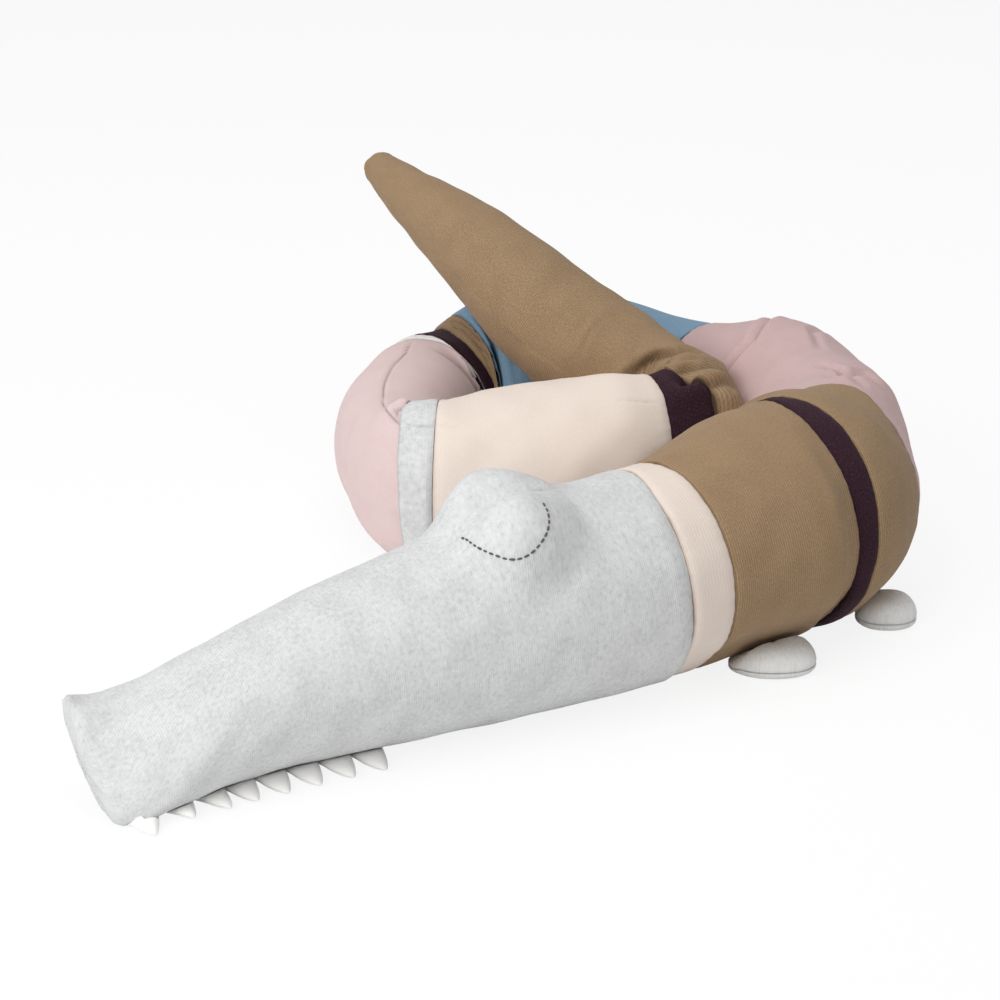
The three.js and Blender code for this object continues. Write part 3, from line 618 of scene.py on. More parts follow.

# Folds and sewn lines: (panel, points as metres along the body and degrees round it, depth, width, and the
# darkness of the shade painted along them)
folds = [
    # the belly seam, which shows where the left bend turns its underside up
    ("pink_left_panel", [(1.214, 101), (1.2214, 100), (1.2385, 95.6), (1.2655, 95), (1.34, 95.4),
                         (1.386, 98.7), (1.4, 108), (1.408, 115), (1.4135, 117.5)], 0.0013, 0.002, 0.75),
    ("grey_band", [(1.4135, 117), (1.4266, 118.2), (1.436, 118)], 0.0012, 0.0018, 0.4),
    ("peach_panel", [(1.434, 118), (1.4397, 118.9), (1.45, 120)], 0.0008, 0.0018, 0.25),
    ("peach_panel", [(1.569, 117), (1.5774, 117), (1.59, 121), (1.6035, 124)], 0.0006, 0.0016, 0.3),
    # the sharp fold at the inside of the left bend
    ("pink_left_panel", [(1.4085, 112), (1.4064, 109.7), (1.4022, 101), (1.4059, 94.4), (1.409, 84)],
     0.0042, 0.0034, 0.7),
    # folds round the narrow brown panel and the blue beside it
    ("brown_fold_panel", [(1.1618, 112), (1.163, 90), (1.1638, 60), (1.1632, 30), (1.162, 0)],
     0.0032, 0.0021, 0.5),
    ("brown_fold_panel", [(1.1676, 100), (1.1668, 80), (1.1672, 55), (1.168, 25)], 0.0026, 0.0019, 0.45),
    ("blue_back_panel", [(1.1515, 84), (1.1502, 60), (1.1503, 33), (1.1492, 19), (1.149, 0)],
     0.0052, 0.003, 0.8),
    ("blue_back_panel", [(1.125, 70), (1.131, 45), (1.137, 20)], 0.0022, 0.005, 0.15),
    ("white_band", [(1.203, 4), (1.2054, 30), (1.2033, 46), (1.2036, 60), (1.2033, 70)], 0.0012, 0.003, 0.8),
    # folds where the tail turns back over the coil
    ("tail_cover", [(1.6995, 12), (1.6923, 33), (1.6868, 49.5), (1.675, 70), (1.669, 84), (1.6655, 104),
                    (1.665, 124)], 0.0048, 0.0042, 0.5),
    ("tail_cover", [(1.63, 92), (1.6345, 100), (1.644, 107), (1.6515, 118), (1.655, 132), (1.656, 150)],
     0.0042, 0.0034, 0.45),
    ("tail_cover", [(1.628, 120), (1.6362, 125), (1.646, 135), (1.652, 148), (1.654, 165)],
     0.0036, 0.0032, 0.4),
    ("tail_cover", [(1.6465, 84), (1.651, 96), (1.6565, 110), (1.66, 128)], 0.003, 0.0034, 0.3),
    ("tail_cover", [(1.7623, 30), (1.7628, 48), (1.7622, 66)], 0.001, 0.0034, 0.06),
    ("tail_cover", [(1.748, 24), (1.751, 42), (1.751, 60)], 0.001, 0.003, 0.06),
    # creases and pleats on the right of the coil
    ("pink_right_panel", [(0.864, 104), (0.855, 92), (0.847, 80.7), (0.8283, 63.3), (0.8263, 41.3),
                          (0.83, 22)], 0.0042, 0.004, 0.5),
    ("pink_right_panel", [(0.823, 118), (0.8104, 102.8), (0.7716, 94.8)], 0.0026, 0.004, 0.15),
    ("pink_right_panel", [(0.705, 128), (0.7118, 114), (0.7051, 101), (0.7, 90)], 0.0042, 0.004, 0.3),
    ("pink_right_panel", [(0.6905, 110), (0.7009, 101.8), (0.716, 93), (0.728, 84)], 0.0034, 0.0036, 0.28),
    ("pink_right_panel", [(0.7, 142), (0.722, 132), (0.746, 126)], 0.0026, 0.0055, 0.1),
    # the soft crease in the skull beside the collar, and dimples at the ends of the nose seam
    ("head_cover", [(0.4275, 108), (0.4286, 122), (0.4269, 148), (0.4288, 180), (0.43, 205)],
     0.0016, 0.0055, 0.07),
    ("head_cover", [(0.012, 62), (0.028, 70), (0.044, 76)], 0.0016, 0.005, 0.04),
]

# Places that stand out from or lie below the even tube:
# (panel, along, degrees round, height, reach along, reach across)
plumps = [
    ("tail_cover", 1.65, 165, 0.008, 0.022, 0.05),
    ("pink_right_panel", 0.725, 128, 0.007, 0.035, 0.04),
    ("pink_right_panel", 0.775, 104, -0.003, 0.025, 0.04),
    ("pink_right_panel", 0.845, 95, 0.003, 0.02, 0.03),
    ("pink_left_panel", 1.355, 172, -0.008, 0.07, 0.075),
    ("pink_left_panel", 1.399, 84, 0.0035, 0.009, 0.02),
    ("peach_panel", 1.575, 92, 0.003, 0.02, 0.03),
    ("peach_panel", 1.458, 90, -0.002, 0.02, 0.03),
    ("head_cover", 0.355, 80, 0.011, 0.026, 0.045),
    ("brown_front_panel", 0.5, 95, 0.002, 0.03, 0.05),
    ("brown_front_panel", 0.5, 222, -0.008, 0.07, 0.026),
    ("collar_band", 0.447, 222, -0.004, 0.03, 0.026),
    ("brown_second_panel", 0.645, 104, -0.006, 0.022, 0.06),
    ("pink_right_panel", 0.668, 104, -0.005, 0.016, 0.06),
    ("blue_back_panel", 1.157, 50, 0.002, 0.004, 0.08),
]


# Distance from each point of a grid to a line of points, both flat, in metres
def distanceToLine(flat, linePoints):
    best = np.full(flat.shape[:2], np.inf)
    for a, b in zip(linePoints[:-1], linePoints[1:]):
        run = b - a
        share = np.clip(((flat - a) @ run) / max(run @ run, 1e-12), 0, 1)
        near = a + share[..., None] * run
        best = np.minimum(best, np.linalg.norm(flat - near, axis=2))
    return best


# Uneven waves in every direction, about one pitch long
def smoothNoise(along, around, pitch, seed):
    rng = np.random.default_rng(seed)
    count = relief["waves"]
    waves = rng.normal(size=(count, 2))
    waves = waves / np.linalg.norm(waves, axis=1, keepdims=True) * rng.uniform(0.6, 1.4, (count, 1))
    phases = rng.uniform(0, 2 * math.pi, count)
    total = 0
    for wave, phase in zip(waves, phases):
        total = total + np.sin((along * wave[0] + around * wave[1]) * 2 * math.pi / pitch + phase)
    return total / math.sqrt(count)


# How far the knit lies above or below the even skin, and the shade painted along its seams and folds
def shapeOf(name, fine, trueAlong, girth, reach):
    angle = np.arange(panelSides) * 2 * math.pi / panelSides
    around = angle / (2 * math.pi) * girth
    flat = np.stack(np.broadcast_arrays(trueAlong, around[None, :]), -1)
    toSeam = reach[:, None]
    lift = -seam["depth"] * np.exp(-((toSeam / seam["width"]) ** 2))
    # painted shade along the seam, darkest on its line
    shade = np.repeat(np.exp(-((toSeam / seam["shadeWidth"]) ** 2)) * seam["shade"], panelSides, axis=1)
    seed = panelNames.index(name)
    wander = smoothNoise(fine[:, None], around[None, :], seam["wanderPitch"], seed) * seam["wander"]
    turns = max(round(girth / seam["puckerLength"]), 1)
    pucker = np.sin(angle[None, :] * turns + wander)
    lift = lift + seam["puckerHeight"] * pucker * np.exp(-toSeam / seam["puckerReach"])
    uneven = smoothNoise(flat[..., 0], flat[..., 1], relief["pitch"], seed + relief["otherSeed"])
    lift = lift + relief["height"] * uneven
    for panel, points, depth, width, dark in folds:
        if panel == name:
            path = np.array([(along, degrees / 360 * girth) for along, degrees in points])
            distance = distanceToLine(flat, path)
            ends = np.min([np.linalg.norm(flat - path[end], axis=2) for end in (0, -1)], axis=0)
            fade = 1 - relief["fade"] * np.exp(-((ends / (width * relief["fadeReach"])) ** 2))
            ridge = (distance - relief["ridgeAway"] * width) / (relief["ridgeWidth"] * width)
            lift = lift - fade * depth * np.exp(-((distance / width) ** 2))
            lift = lift + fade * depth * relief["ridge"] * np.exp(-(ridge**2))
            # painted shade along the fold
            shadeWidth = relief["shadeWidth"] * width
            shade = np.maximum(shade, fade * dark * np.exp(-((distance / shadeWidth) ** 2)))
    for panel, along, degrees, height, reachAlong, reachAcross in plumps:
        if panel == name:
            away = np.abs(around[None, :] - degrees / 360 * girth)
            away = np.minimum(away, girth - away)
            squares = ((trueAlong - along) / reachAlong) ** 2 + (away / reachAcross) ** 2
            lift = lift + height * np.exp(-squares)
    return lift, np.clip(shade, 0, 1)


# The skin read along each of its columns at that column's own places, which may pass the ends by some rings
def readColumns(first, last, alongGrid):
    first, last = max(first - spareRings, 0), min(last + spareRings, len(skin) - 1)
    places, values = skinAlong[first : last + 1], skin[first : last + 1]
    spans = np.diff(places)[:, None, None]
    rises = np.diff(values, axis=0) / spans
    slopes = np.concatenate([rises[:1], (rises[:-1] * spans[1:] + rises[1:] * spans[:-1]) /
                             (spans[:-1] + spans[1:]), rises[-1:]])
    i = np.clip(np.searchsorted(places, alongGrid.ravel()) - 1, 0, len(spans) - 1).reshape(alongGrid.shape)
    j = np.broadcast_to(np.arange(alongGrid.shape[1]), alongGrid.shape)
    span = spans[i, 0, 0][..., None]
    t = (alongGrid - places[i])[..., None] / span
    fromStart = 2 * t**3 - 3 * t**2 + 1
    bend = (t**3 - 2 * t**2 + t) * span * slopes[i, j] + (t**3 - t**2) * span * slopes[i + 1, j]
    return fromStart * values[i, j] + (1 - fromStart) * values[i + 1, j] + bend


def makePanel(name):
    first, last = panelRings[name]
    atStart, atEnd = first > 0, last < len(skin) - 1
    fine = seamPlaces(skinAlong[first], skinAlong[last], atStart, atEnd)
    coarseTurns = np.arange(sides) * 360 / sides
    startDrift = driftOf(panelNames[panelNames.index(name) - 1], coarseTurns) if atStart else 0 * coarseTurns
    endDrift = driftOf(name, coarseTurns) if atEnd else 0 * coarseTurns
    share = ((fine - fine[0]) / (fine[-1] - fine[0]))[:, None]
    startShare, endShare = (1 - share) ** 2, share**2
    if fine[-1] - fine[0] < seam["shortPanel"]:
        startShare, endShare = 1 - share, share
    alongGrid = fine[:, None] + startDrift * startShare + endDrift * endShare
    points = denserAround(readColumns(first, last, alongGrid))
    trueAlong = denserAround(alongGrid[..., None])[..., 0]
    normals = gridNormals(points)
    reach = np.full(len(fine), 1.0)
    if atStart:
        reach = np.minimum(reach, fine - fine[0])
    if atEnd:
        reach = np.minimum(reach, fine[-1] - fine)
    girth = float(np.median(np.linalg.norm(np.roll(points, -1, axis=1) - points, axis=2).sum(1)))
    lift, shade = shapeOf(name, fine, trueAlong, girth, reach)
    onFloor = np.clip((points[..., 2] - relief["flatBelow"]) / relief["fullAbove"], 0, 1)
    points = points + normals * (lift * onFloor)[..., None]
    points[..., 2] = np.maximum(points[..., 2], floorHeight)

    # at each seam the knit turns in and closes, half the gap of the seam away from its neighbour; the
    # turned-in rings are painted fully shaded
    grid, alongs = points, fine
    for atSeam, end in ((atStart, 0), (atEnd, -1)):
        if not atSeam:
            continue
        ring = points[end]
        centre = ring.mean(0)
        lengths = np.linalg.norm(centre - ring, axis=1, keepdims=True)
        inward = (centre - ring) / lengths
        gap = np.cross(ring[0] - centre, ring[panelSides // 4] - centre)
        gap = gap / np.linalg.norm(gap) * body["seamGap"] / 2 * (1 if end == 0 else -1)
        most = lengths * seam["turnedMost"]
        turned = [ring + gap + inward * np.minimum(step, most) for step in seam["turnedIn"]]
        turned.append(centre + gap + (ring - centre) * seam["turnedEnd"])
        edge = [fine[end]] * (len(turned) - 1)
        # the turned-in rings take full painted shade
        dark = np.ones((len(turned) - 1, panelSides))
        if end == 0:
            grid, alongs = np.concatenate([turned[::-1], grid[1:]]), np.concatenate([edge, alongs])
            shade = np.concatenate([dark, shade])
        else:
            grid, alongs = np.concatenate([grid[:-1], turned]), np.concatenate([alongs, edge])
            shade = np.concatenate([shade, dark])
    startPole = grid[0].mean(0) if atStart else nosePole
    endPole = grid[-1].mean(0) if atEnd else tailPole
    data = closedMesh(name + "_knit", grid, startPole, endPole)
    creaseShades = np.append(shade, [shade[0].mean(), shade[-1].mean()])
    return finishPiece(data, knitMapOf(grid, alongs, girth), creaseShades)


# Metres round the body and along it for each corner of each face, in the order of closedFaces
def knitMapOf(grid, alongs, girth):
    rings, sideCount = grid.shape[:2]
    around = np.arange(sideCount + 1) / sideCount * girth
    i, j = np.meshgrid(np.arange(rings - 1), np.arange(sideCount), indexing="ij")
    u = np.stack([around[j], around[j + 1], around[j + 1], around[j]], -1)
    v = np.stack([alongs[i], alongs[i], alongs[i + 1], alongs[i + 1]], -1)
    places = list(np.stack([u, v], -1).reshape(-1, 2))
    for j in range(sideCount):
        places.extend([(around[j + 1], alongs[0]), (around[j], alongs[0]), (around[j], alongs[0])])
        places.extend([(around[j], alongs[-1]), (around[j + 1], alongs[-1]), (around[j], alongs[-1])])
    return np.array(places)


# A smooth piece with its knit map for each corner and, for each point, the shade painted in its seams and
# creases
def finishPiece(data, knitMap, creaseShades):
    layer = data.uv_layers.new(name="knitMap")
    layer.data.foreach_set("uv", knitMap.astype(np.float32).ravel())
    # the painted shade of seams, folds and edges, which the knit material darkens the colour by
    creaseShade = data.attributes.new("creaseShade", "FLOAT", "POINT")
    creaseShade.data.foreach_set("value", creaseShades.astype(np.float32))
    data.polygons.foreach_set("use_smooth", np.ones(len(data.polygons), bool))
    data.update()
    return addObject(data.name, data)


for name in panelNames:
    pieces[name] = makePanel(name)
print("panels made:", sum(len(p.data.polygons) for p in pieces.values()), "faces")

# Teeth: small leaf shapes of cotton, sewn under both edges of the snout

teeth = {"count": 8, "first": 0.0205, "pitch": 0.025, "rootOffset": 0.03, "length": 0.034, "steepest": 0.85,
         "width": 0.0255, "thickness": 0.0105, "tip": 0.28, "seamAllowance": 0.004, "firstOutward": 0.007,
         "backwards": (0.27, 0.08, -0.03, 0.1, 0.13, 0.13, 0.1, 0.1), "floorClearance": 0.001,
         "tipClearance": 0.002, "lowest": 0.0002, "underHead": 0.0005, "thinnest": 0.0004, "sides": 28,
         "rings": (0, 0.04, 0.12, 0.22, 0.34, 0.46, 0.58, 0.7, 0.8, 0.88, 0.94, 0.98, 0.995),
         "tipCurve": 5, "front": (1.5, 0.28), "rear": (2.2, 0.5), "rootThickness": 0.55, "swelling": 3,
         "thinning": (2.6, 0.6), "roundness": 0.9, "edgeThinning": (0.35, 4), "edgeShade": 0.35,
         "edgeSharpness": 60, "rootShade": 0.4, "rootReach": 0.2}
# From how far below the floor a ray looks up, and how far
survey = {"below": 0.02, "reach": 0.2}


def lineAt(along):
    found = {}
    for key in ("centre", "forward", "left", "up"):
        found[key] = np.array([np.interp(along, line["along"], line[key][:, k]) for k in range(3)])
    for key in ("halfHeight", "halfWidth", "roll"):
        found[key] = float(np.interp(along, line["along"], line[key]))
    return found


# The height of the underside of what lies over a place on the floor
def undersideAt(tree, x, y):
    hit = tree.ray_cast(Vector((x, y, -survey["below"])), Vector((0, 0, 1)), survey["reach"])[0]
    return hit.z if hit is not None else None


# A piece whose knit map is given for each point, with the faces turned outwards
def sewnPiece(name, grid, endPole, flat, rimShade):
    data = closedMesh(name, grid, grid[0].mean(0), endPole)
    shape = bmesh.new()
    shape.from_mesh(data)
    bmesh.ops.recalc_face_normals(shape, faces=shape.faces)
    shape.to_mesh(data)
    shape.free()
    flat = np.concatenate([flat.reshape(-1, 2), [flat[0].mean(0)], [flat[-1].mean(0)]])
    corners = np.empty(len(data.loops), np.int32)
    data.loops.foreach_get("vertex_index", corners)
    return finishPiece(data, flat[corners], np.append(rimShade, [0, 0]))


headTree = treeOf(*headEnd)


def makeTooth(name, index, side):
    along = teeth["first"] + teeth["pitch"] * index
    here = lineAt(along)
    wide = here["halfWidth"] * math.cos(here["roll"])
    high = here["halfHeight"] * math.sin(here["roll"])
    under = -math.atan2(high, wide) - math.acos(side * teeth["rootOffset"] / math.hypot(wide, high))
    single = {key: np.array([value]) for key, value in here.items()}
    single["along"] = np.array([along])
    single["halfLeft"] = single["halfRight"] = single["halfWidth"]
    root = skinPoints(single, np.array([under]))[0, 0]
    root[2] = max(root[2], teeth["floorClearance"] + teeth["thickness"] / 2)
    tipHeight = teeth["floorClearance"] + teeth["tipClearance"]
    drop = min((root[2] - tipHeight) / teeth["length"], teeth["steepest"])
    direction = here["left"] * side * math.sqrt(1 - drop**2) - np.array([0, 0, drop])
    direction = direction - here["forward"] * teeth["backwards"][index]
    over = np.cross(direction, here["forward"])
    over = over / np.linalg.norm(over) * (1 if over[2] > 0 else -1)
    root = root + direction * ((teeth["firstOutward"] if index == 0 else 0) - teeth["seamAllowance"])
    grid, flat = [], []
    turns = np.arange(teeth["sides"]) * 2 * math.pi / teeth["sides"]
    cosine, sine = np.cos(turns), np.sin(turns)
    tipPlace = teeth["tip"] * teeth["width"]
    for share in teeth["rings"]:
        rounding = (1 - share ** teeth["tipCurve"]) ** 0.5
        front, rear = ((1 - share**curve) * (1 - straight) + straight
                       for curve, straight in (teeth["front"], teeth["rear"]))
        frontEdge = tipPlace - (tipPlace + teeth["width"] / 2) * front * rounding
        rearEdge = tipPlace + (teeth["width"] / 2 - tipPlace) * rear * rounding
        tipPower, tipRoot = teeth["thinning"]
        swelled = min(1, teeth["rootThickness"] + share * teeth["swelling"])
        halfOver = teeth["thickness"] / 2 * swelled * (1 - share**tipPower) ** tipRoot
        centre = root + direction * teeth["length"] * share + here["forward"] * (rearEdge + frontEdge) / 2
        across = np.sign(cosine) * np.abs(cosine) ** teeth["roundness"] * (rearEdge - frontEdge) / 2
        amount, power = teeth["edgeThinning"]
        rise = sine * halfOver * (1 - amount * np.abs(cosine) ** power)
        ring = centre + here["forward"] * across[:, None] + over * rise[:, None]
        for point, height in zip(ring, np.abs(rise)):
            roof = undersideAt(headTree, point[0], point[1])
            top = (centre + over * height)[2]
            if roof is not None and roof - teeth["underHead"] < top:
                point[2] *= max(roof - teeth["underHead"], teeth["thinnest"]) / top
        grid.append(ring)
        flat.append(np.stack([across + side * along, np.full(len(turns), share * teeth["length"])], 1))
    grid = np.array(grid)
    grid[..., 2] = np.maximum(grid[..., 2], teeth["lowest"])
    tip = root + direction * teeth["length"] + here["forward"] * tipPlace
    edge = np.abs(cosine)[None, :] ** teeth["edgeSharpness"] * teeth["edgeShade"]
    rootShade = np.exp(-((np.array(teeth["rings"]) / teeth["rootReach"]) ** 2))[:, None] * teeth["rootShade"]
    return sewnPiece(name, grid, tip, np.array(flat), np.maximum(edge, rootShade))


toothPieces = {}
for sideName, side in (("near", -1), ("far", 1)):
    for i in range(teeth["count"]):
        name = f"tooth_{sideName}_{i + 1}"
        toothPieces[name] = makeTooth(name + "_padded", i, side)
print("teeth made:", len(toothPieces))

# Feet: flat padded ovals under the sides of the body, an upper and a lower cover sewn round the rim

foot = {"offset": 0.061, "rimHeight": 0.0076, "top": 0.0232, "rimFold": 0.0009, "foldReach": 0.025,
        "squareness": 2.3, "upperCurve": 0.68, "lowerCurve": 0.5, "crown": 0.8, "rimRise": 0.00015,
        "pucker": 0.006, "puckers": 21, "puckerReach": 0.12, "dimple": 0.05, "dimplesLong": 140,
        "dimplesAcross": 110, "shade": 0.5, "shadeReach": 0.012, "recess": 0.0035, "thinnest": 0.001,
        "sides": 80, "levels": (0, 0.015, 0.04, 0.08, 0.14, 0.21, 0.3, 0.4, 0.5, 0.6, 0.7, 0.8, 0.9, 0.97)}
footPlaces = [("front", "brown_front_panel", 0.45), ("rear", "brown_second_panel", 0.22)]
# turn: how far the long side is turned outwards from the line of the body, in degrees; the rest in metres
footShapes = {
    "front": {"turn": 36.7, "half": 0.033, "outer": 0.0235, "inner": 0.033, "onward": 0.0059,
              "outward": -0.0025},
    "rear": {"turn": 59, "half": 0.0238, "outer": 0.0195, "inner": 0.027, "onward": 0.0014,
             "outward": 0.0089},
}
bodyTree = treeOf(*runOf("collar_band", "pink_right_panel"))


def makeFootCover(name, along, side, half, shape):
    here = lineAt(along)
    outward = here["left"] * side
    centre = here["centre"] + outward * (foot["offset"] + shape["outward"])
    centre = centre + here["forward"] * shape["onward"]
    cosTurn, sinTurn = math.cos(shape["turn"] * degree), math.sin(shape["turn"] * degree)
    longAxis = here["forward"] * cosTurn + outward * sinTurn
    shortAxis = outward * cosTurn - here["forward"] * sinTurn
    rim = foot["rimHeight"]
    thick = foot["top"] - rim if half > 0 else rim
    curve = foot["upperCurve"] if half > 0 else foot["lowerCurve"]
    turns = np.arange(foot["sides"]) * 2 * math.pi / foot["sides"]
    cosine, sine = np.cos(turns), np.sin(turns)
    power = foot["squareness"]
    oval = (np.abs(cosine) ** power + np.abs(sine) ** power) ** (-1 / power)
    depths = np.where(sine > 0, shape["outer"], shape["inner"])
    grid, flat, shade = [], [], []
    for level in foot["levels"]:
        reach = math.cos(level * math.pi / 2) ** curve
        seamFold = foot["rimFold"] * math.exp(-level / foot["foldReach"])
        rise = thick * math.sin(level * math.pi / 2) ** foot["crown"] + foot["rimRise"]
        fade = math.exp(-level / foot["puckerReach"])
        pucker = 1 + foot["pucker"] * np.sin(turns * foot["puckers"] + side) * fade
        lengthwise = cosine * oval * (reach * shape["half"] - seamFold) * pucker
        crosswise = sine * oval * (reach * depths - seamFold) * pucker
        ring = centre + longAxis * lengthwise[:, None] + shortAxis * crosswise[:, None]
        if half > 0:
            waves = np.sin(lengthwise * foot["dimplesLong"] + side)
            rise = rise * (1 - foot["dimple"] * waves * np.sin(crosswise * foot["dimplesAcross"]))
        ring[:, 2] = np.maximum(rim + half * rise, floorHeight)
        for point in ring:
            roof = undersideAt(bodyTree, point[0], point[1])
            roof = roof + foot["recess"] if roof is not None else 1
            if roof < foot["top"]:
                point[2] *= max(roof, foot["thinnest"]) / foot["top"]
        grid.append(ring)
        flat.append(np.stack([crosswise, lengthwise], 1))
        shade.append(np.full(len(turns), foot["shade"] * math.exp(-level / foot["shadeReach"])))
    grid = np.array(grid)
    return sewnPiece(name, grid, grid[-1].mean(0), np.array(flat), np.array(shade))


footPieces = {}
for place, panel, share in footPlaces:
    first, last = (skinAlong[k] for k in panelRings[panel])
    for sideName, side in (("near", -1), ("far", 1)):
        for halfName, half in (("upper", 1), ("lower", -1)):
            name = f"{place}_foot_{sideName}_{halfName}_cover"
            along = first + (last - first) * share
            footPieces[name] = makeFootCover(name + "_knit", along, side, half, footShapes[place])
print("feet made:", len(footPieces), "covers")

# Eyelids: a running stitch of dark thread round the lower half of each eye bump

# The line of the near eyelid, as metres along the body and degrees down from the top. The far one is its
# mirror image, set lower on the bump.
eyelid = {"line": [(0.2817, 8.4), (0.2847, 22), (0.2907, 29.7), (0.2975, 34.6), (0.305, 36.6),
                   (0.3125, 36.2), (0.3189, 34.3), (0.3275, 29.6), (0.3325, 22.6), (0.3331, 18.6)],
          "farLower": 42, "metresPerDegree": 0.0015, "pathPoints": 61, "stitches": 21,
          "stitchLength": 0.0042, "threadWidth": 0.0017, "threadHeight": 0.0014, "unevenness": 0.12,
          "onSkin": 0.0004}


def skinAt(along, angle):
    i = np.clip(np.searchsorted(skinAlong, along) - 1, 0, len(skinAlong) - 2)
    share = (along - skinAlong[i]) / (skinAlong[i + 1] - skinAlong[i])
    place = (angle % (2 * math.pi)) / (2 * math.pi) * sides
    j = int(place)
    part = place - j
    corners = [skin[i + a, (j + b) % sides] for a in (0, 1) for b in (0, 1)]
    low = corners[0] * (1 - part) + corners[1] * part
    high = corners[2] * (1 - part) + corners[3] * part
    return low * (1 - share) + high * share


def eyelidPath(side):
    points = np.array(eyelid["line"])
    lengths = np.linalg.norm(np.diff(points * [1, eyelid["metresPerDegree"]], axis=0), axis=1)
    places = np.concatenate([[0], np.cumsum(lengths)])
    curve = cubicThrough(places, points, np.linspace(0, places[-1], eyelid["pathPoints"]))
    lower = eyelid["farLower"] if side > 0 else 0
    return np.array([skinAt(along, math.pi / 2 - side * (down + lower) * degree) for along, down in curve])


# A node with its settings; what goes in at each socket is a value or another node's output
def addNode(tree, kind, settings=None, inputs=None):
    node = tree.nodes.new(kind)
    for key, value in (settings or {}).items():
        setattr(node, key, value)
    for key, value in (inputs or {}).items():
        if isinstance(value, bpy.types.NodeSocket):
            tree.links.new(value, node.inputs[key])
        else:
            node.inputs[key].default_value = value
    return node.outputs


bead = {"segments": 10, "rings": 6, "seed": 7}


# One small rounded bead of thread for each stitch along a path, as long as the stitch and lying flat on
# the knit
def runningStitchTree():
    tree = bpy.data.node_groups.new("runningStitch", "GeometryNodeTree")
    for name, kind, value in (("Path", "Geometry", None), ("Stitches", "Int", 20),
                              ("Stitch size", "Vector", (0.0022, 0.001, 0.0008)),
                              ("Unevenness", "Float", 0.1), ("Thread", "Material", None)):
        socket = tree.interface.new_socket(name, in_out="INPUT", socket_type="NodeSocket" + kind)
        if value is not None:
            socket.default_value = value
    tree.interface.new_socket("Stitched", in_out="OUTPUT", socket_type="NodeSocketGeometry")
    given = addNode(tree, "NodeGroupInput")
    curve = addNode(tree, "GeometryNodeMeshToCurve", {}, {"Mesh": given["Path"]})[0]
    spread = addNode(tree, "GeometryNodeResampleCurve", {}, {"Curve": curve, "Count": given["Stitches"]})[0]
    tangent = addNode(tree, "GeometryNodeInputTangent")[0]
    outward = addNode(tree, "GeometryNodeInputNamedAttribute", {"data_type": "FLOAT_VECTOR"},
                      {"Name": "outward"})[0]
    along = addNode(tree, "FunctionNodeAlignRotationToVector", {"axis": "X"}, {"Vector": tangent})[0]
    facing = addNode(tree, "FunctionNodeAlignRotationToVector", {"axis": "Z", "pivot_axis": "X"},
                     {"Rotation": along, "Vector": outward})[0]
    least = addNode(tree, "ShaderNodeMath", {"operation": "SUBTRACT"}, {0: 1.0, 1: given["Unevenness"]})[0]
    most = addNode(tree, "ShaderNodeMath", {"operation": "ADD"}, {0: 1.0, 1: given["Unevenness"]})[0]
    uneven = addNode(tree, "FunctionNodeRandomValue", {"data_type": "FLOAT"},
                     {"Seed": bead["seed"], 2: least, 3: most})[1]
    size = addNode(tree, "ShaderNodeVectorMath", {"operation": "SCALE"},
                   {0: given["Stitch size"], "Scale": uneven})[0]
    sphere = addNode(tree, "GeometryNodeMeshUVSphere", {},
                     {"Segments": bead["segments"], "Rings": bead["rings"], "Radius": 1.0})[0]
    placed = addNode(tree, "GeometryNodeInstanceOnPoints", {},
                     {"Points": spread, "Instance": sphere, "Rotation": facing, "Scale": size})[0]
    real = addNode(tree, "GeometryNodeRealizeInstances", {}, {0: placed})[0]
    finished = addNode(tree, "GeometryNodeSetMaterial", {},
                       {"Geometry": real, "Material": given["Thread"]})[0]
    addNode(tree, "NodeGroupOutput", {}, {0: finished})
    return tree


def makeStitches(name, tree, path, outwards, values, material):
    data = bpy.data.meshes.new(name)
    data.from_pydata(path.tolist(), [(i, i + 1) for i in range(len(path) - 1)], [])
    attribute = data.attributes.new("outward", "FLOAT_VECTOR", "POINT")
    attribute.data.foreach_set("vector", outwards.astype(np.float32).ravel())
    guide = addObject(name + "_path", data)
    modifier = guide.modifiers.new("stitches", "NODES")
    modifier.node_group = tree
    sockets = {item.name: item.identifier for item in tree.interface.items_tree if item.in_out == "INPUT"}
    for key, value in values.items():
        modifier[sockets[key]] = value
    modifier[sockets["Thread"]] = material
    graph = bpy.context.evaluated_depsgraph_get()
    done = bpy.data.meshes.new_from_object(guide.evaluated_get(graph), depsgraph=graph)
    done.name = name
    guide.modifiers.clear()
    bpy.data.objects.remove(guide)
    done.polygons.foreach_set("use_smooth", np.ones(len(done.polygons), bool))
    return addObject(name, done)


# Materials

def linearColour(hexColour):
    parts = [int(hexColour[i : i + 2], 16) / 255 for i in (0, 2, 4)]
    return tuple(p / 12.92 if p <= 0.04045 else ((p + 0.055) / 1.055) ** 2.4 for p in parts) + (1.0,)


def newMaterial(name):
    material = bpy.data.materials.new(name)
    material.use_nodes = True
    material.node_tree.nodes.clear()
    return material, material.node_tree
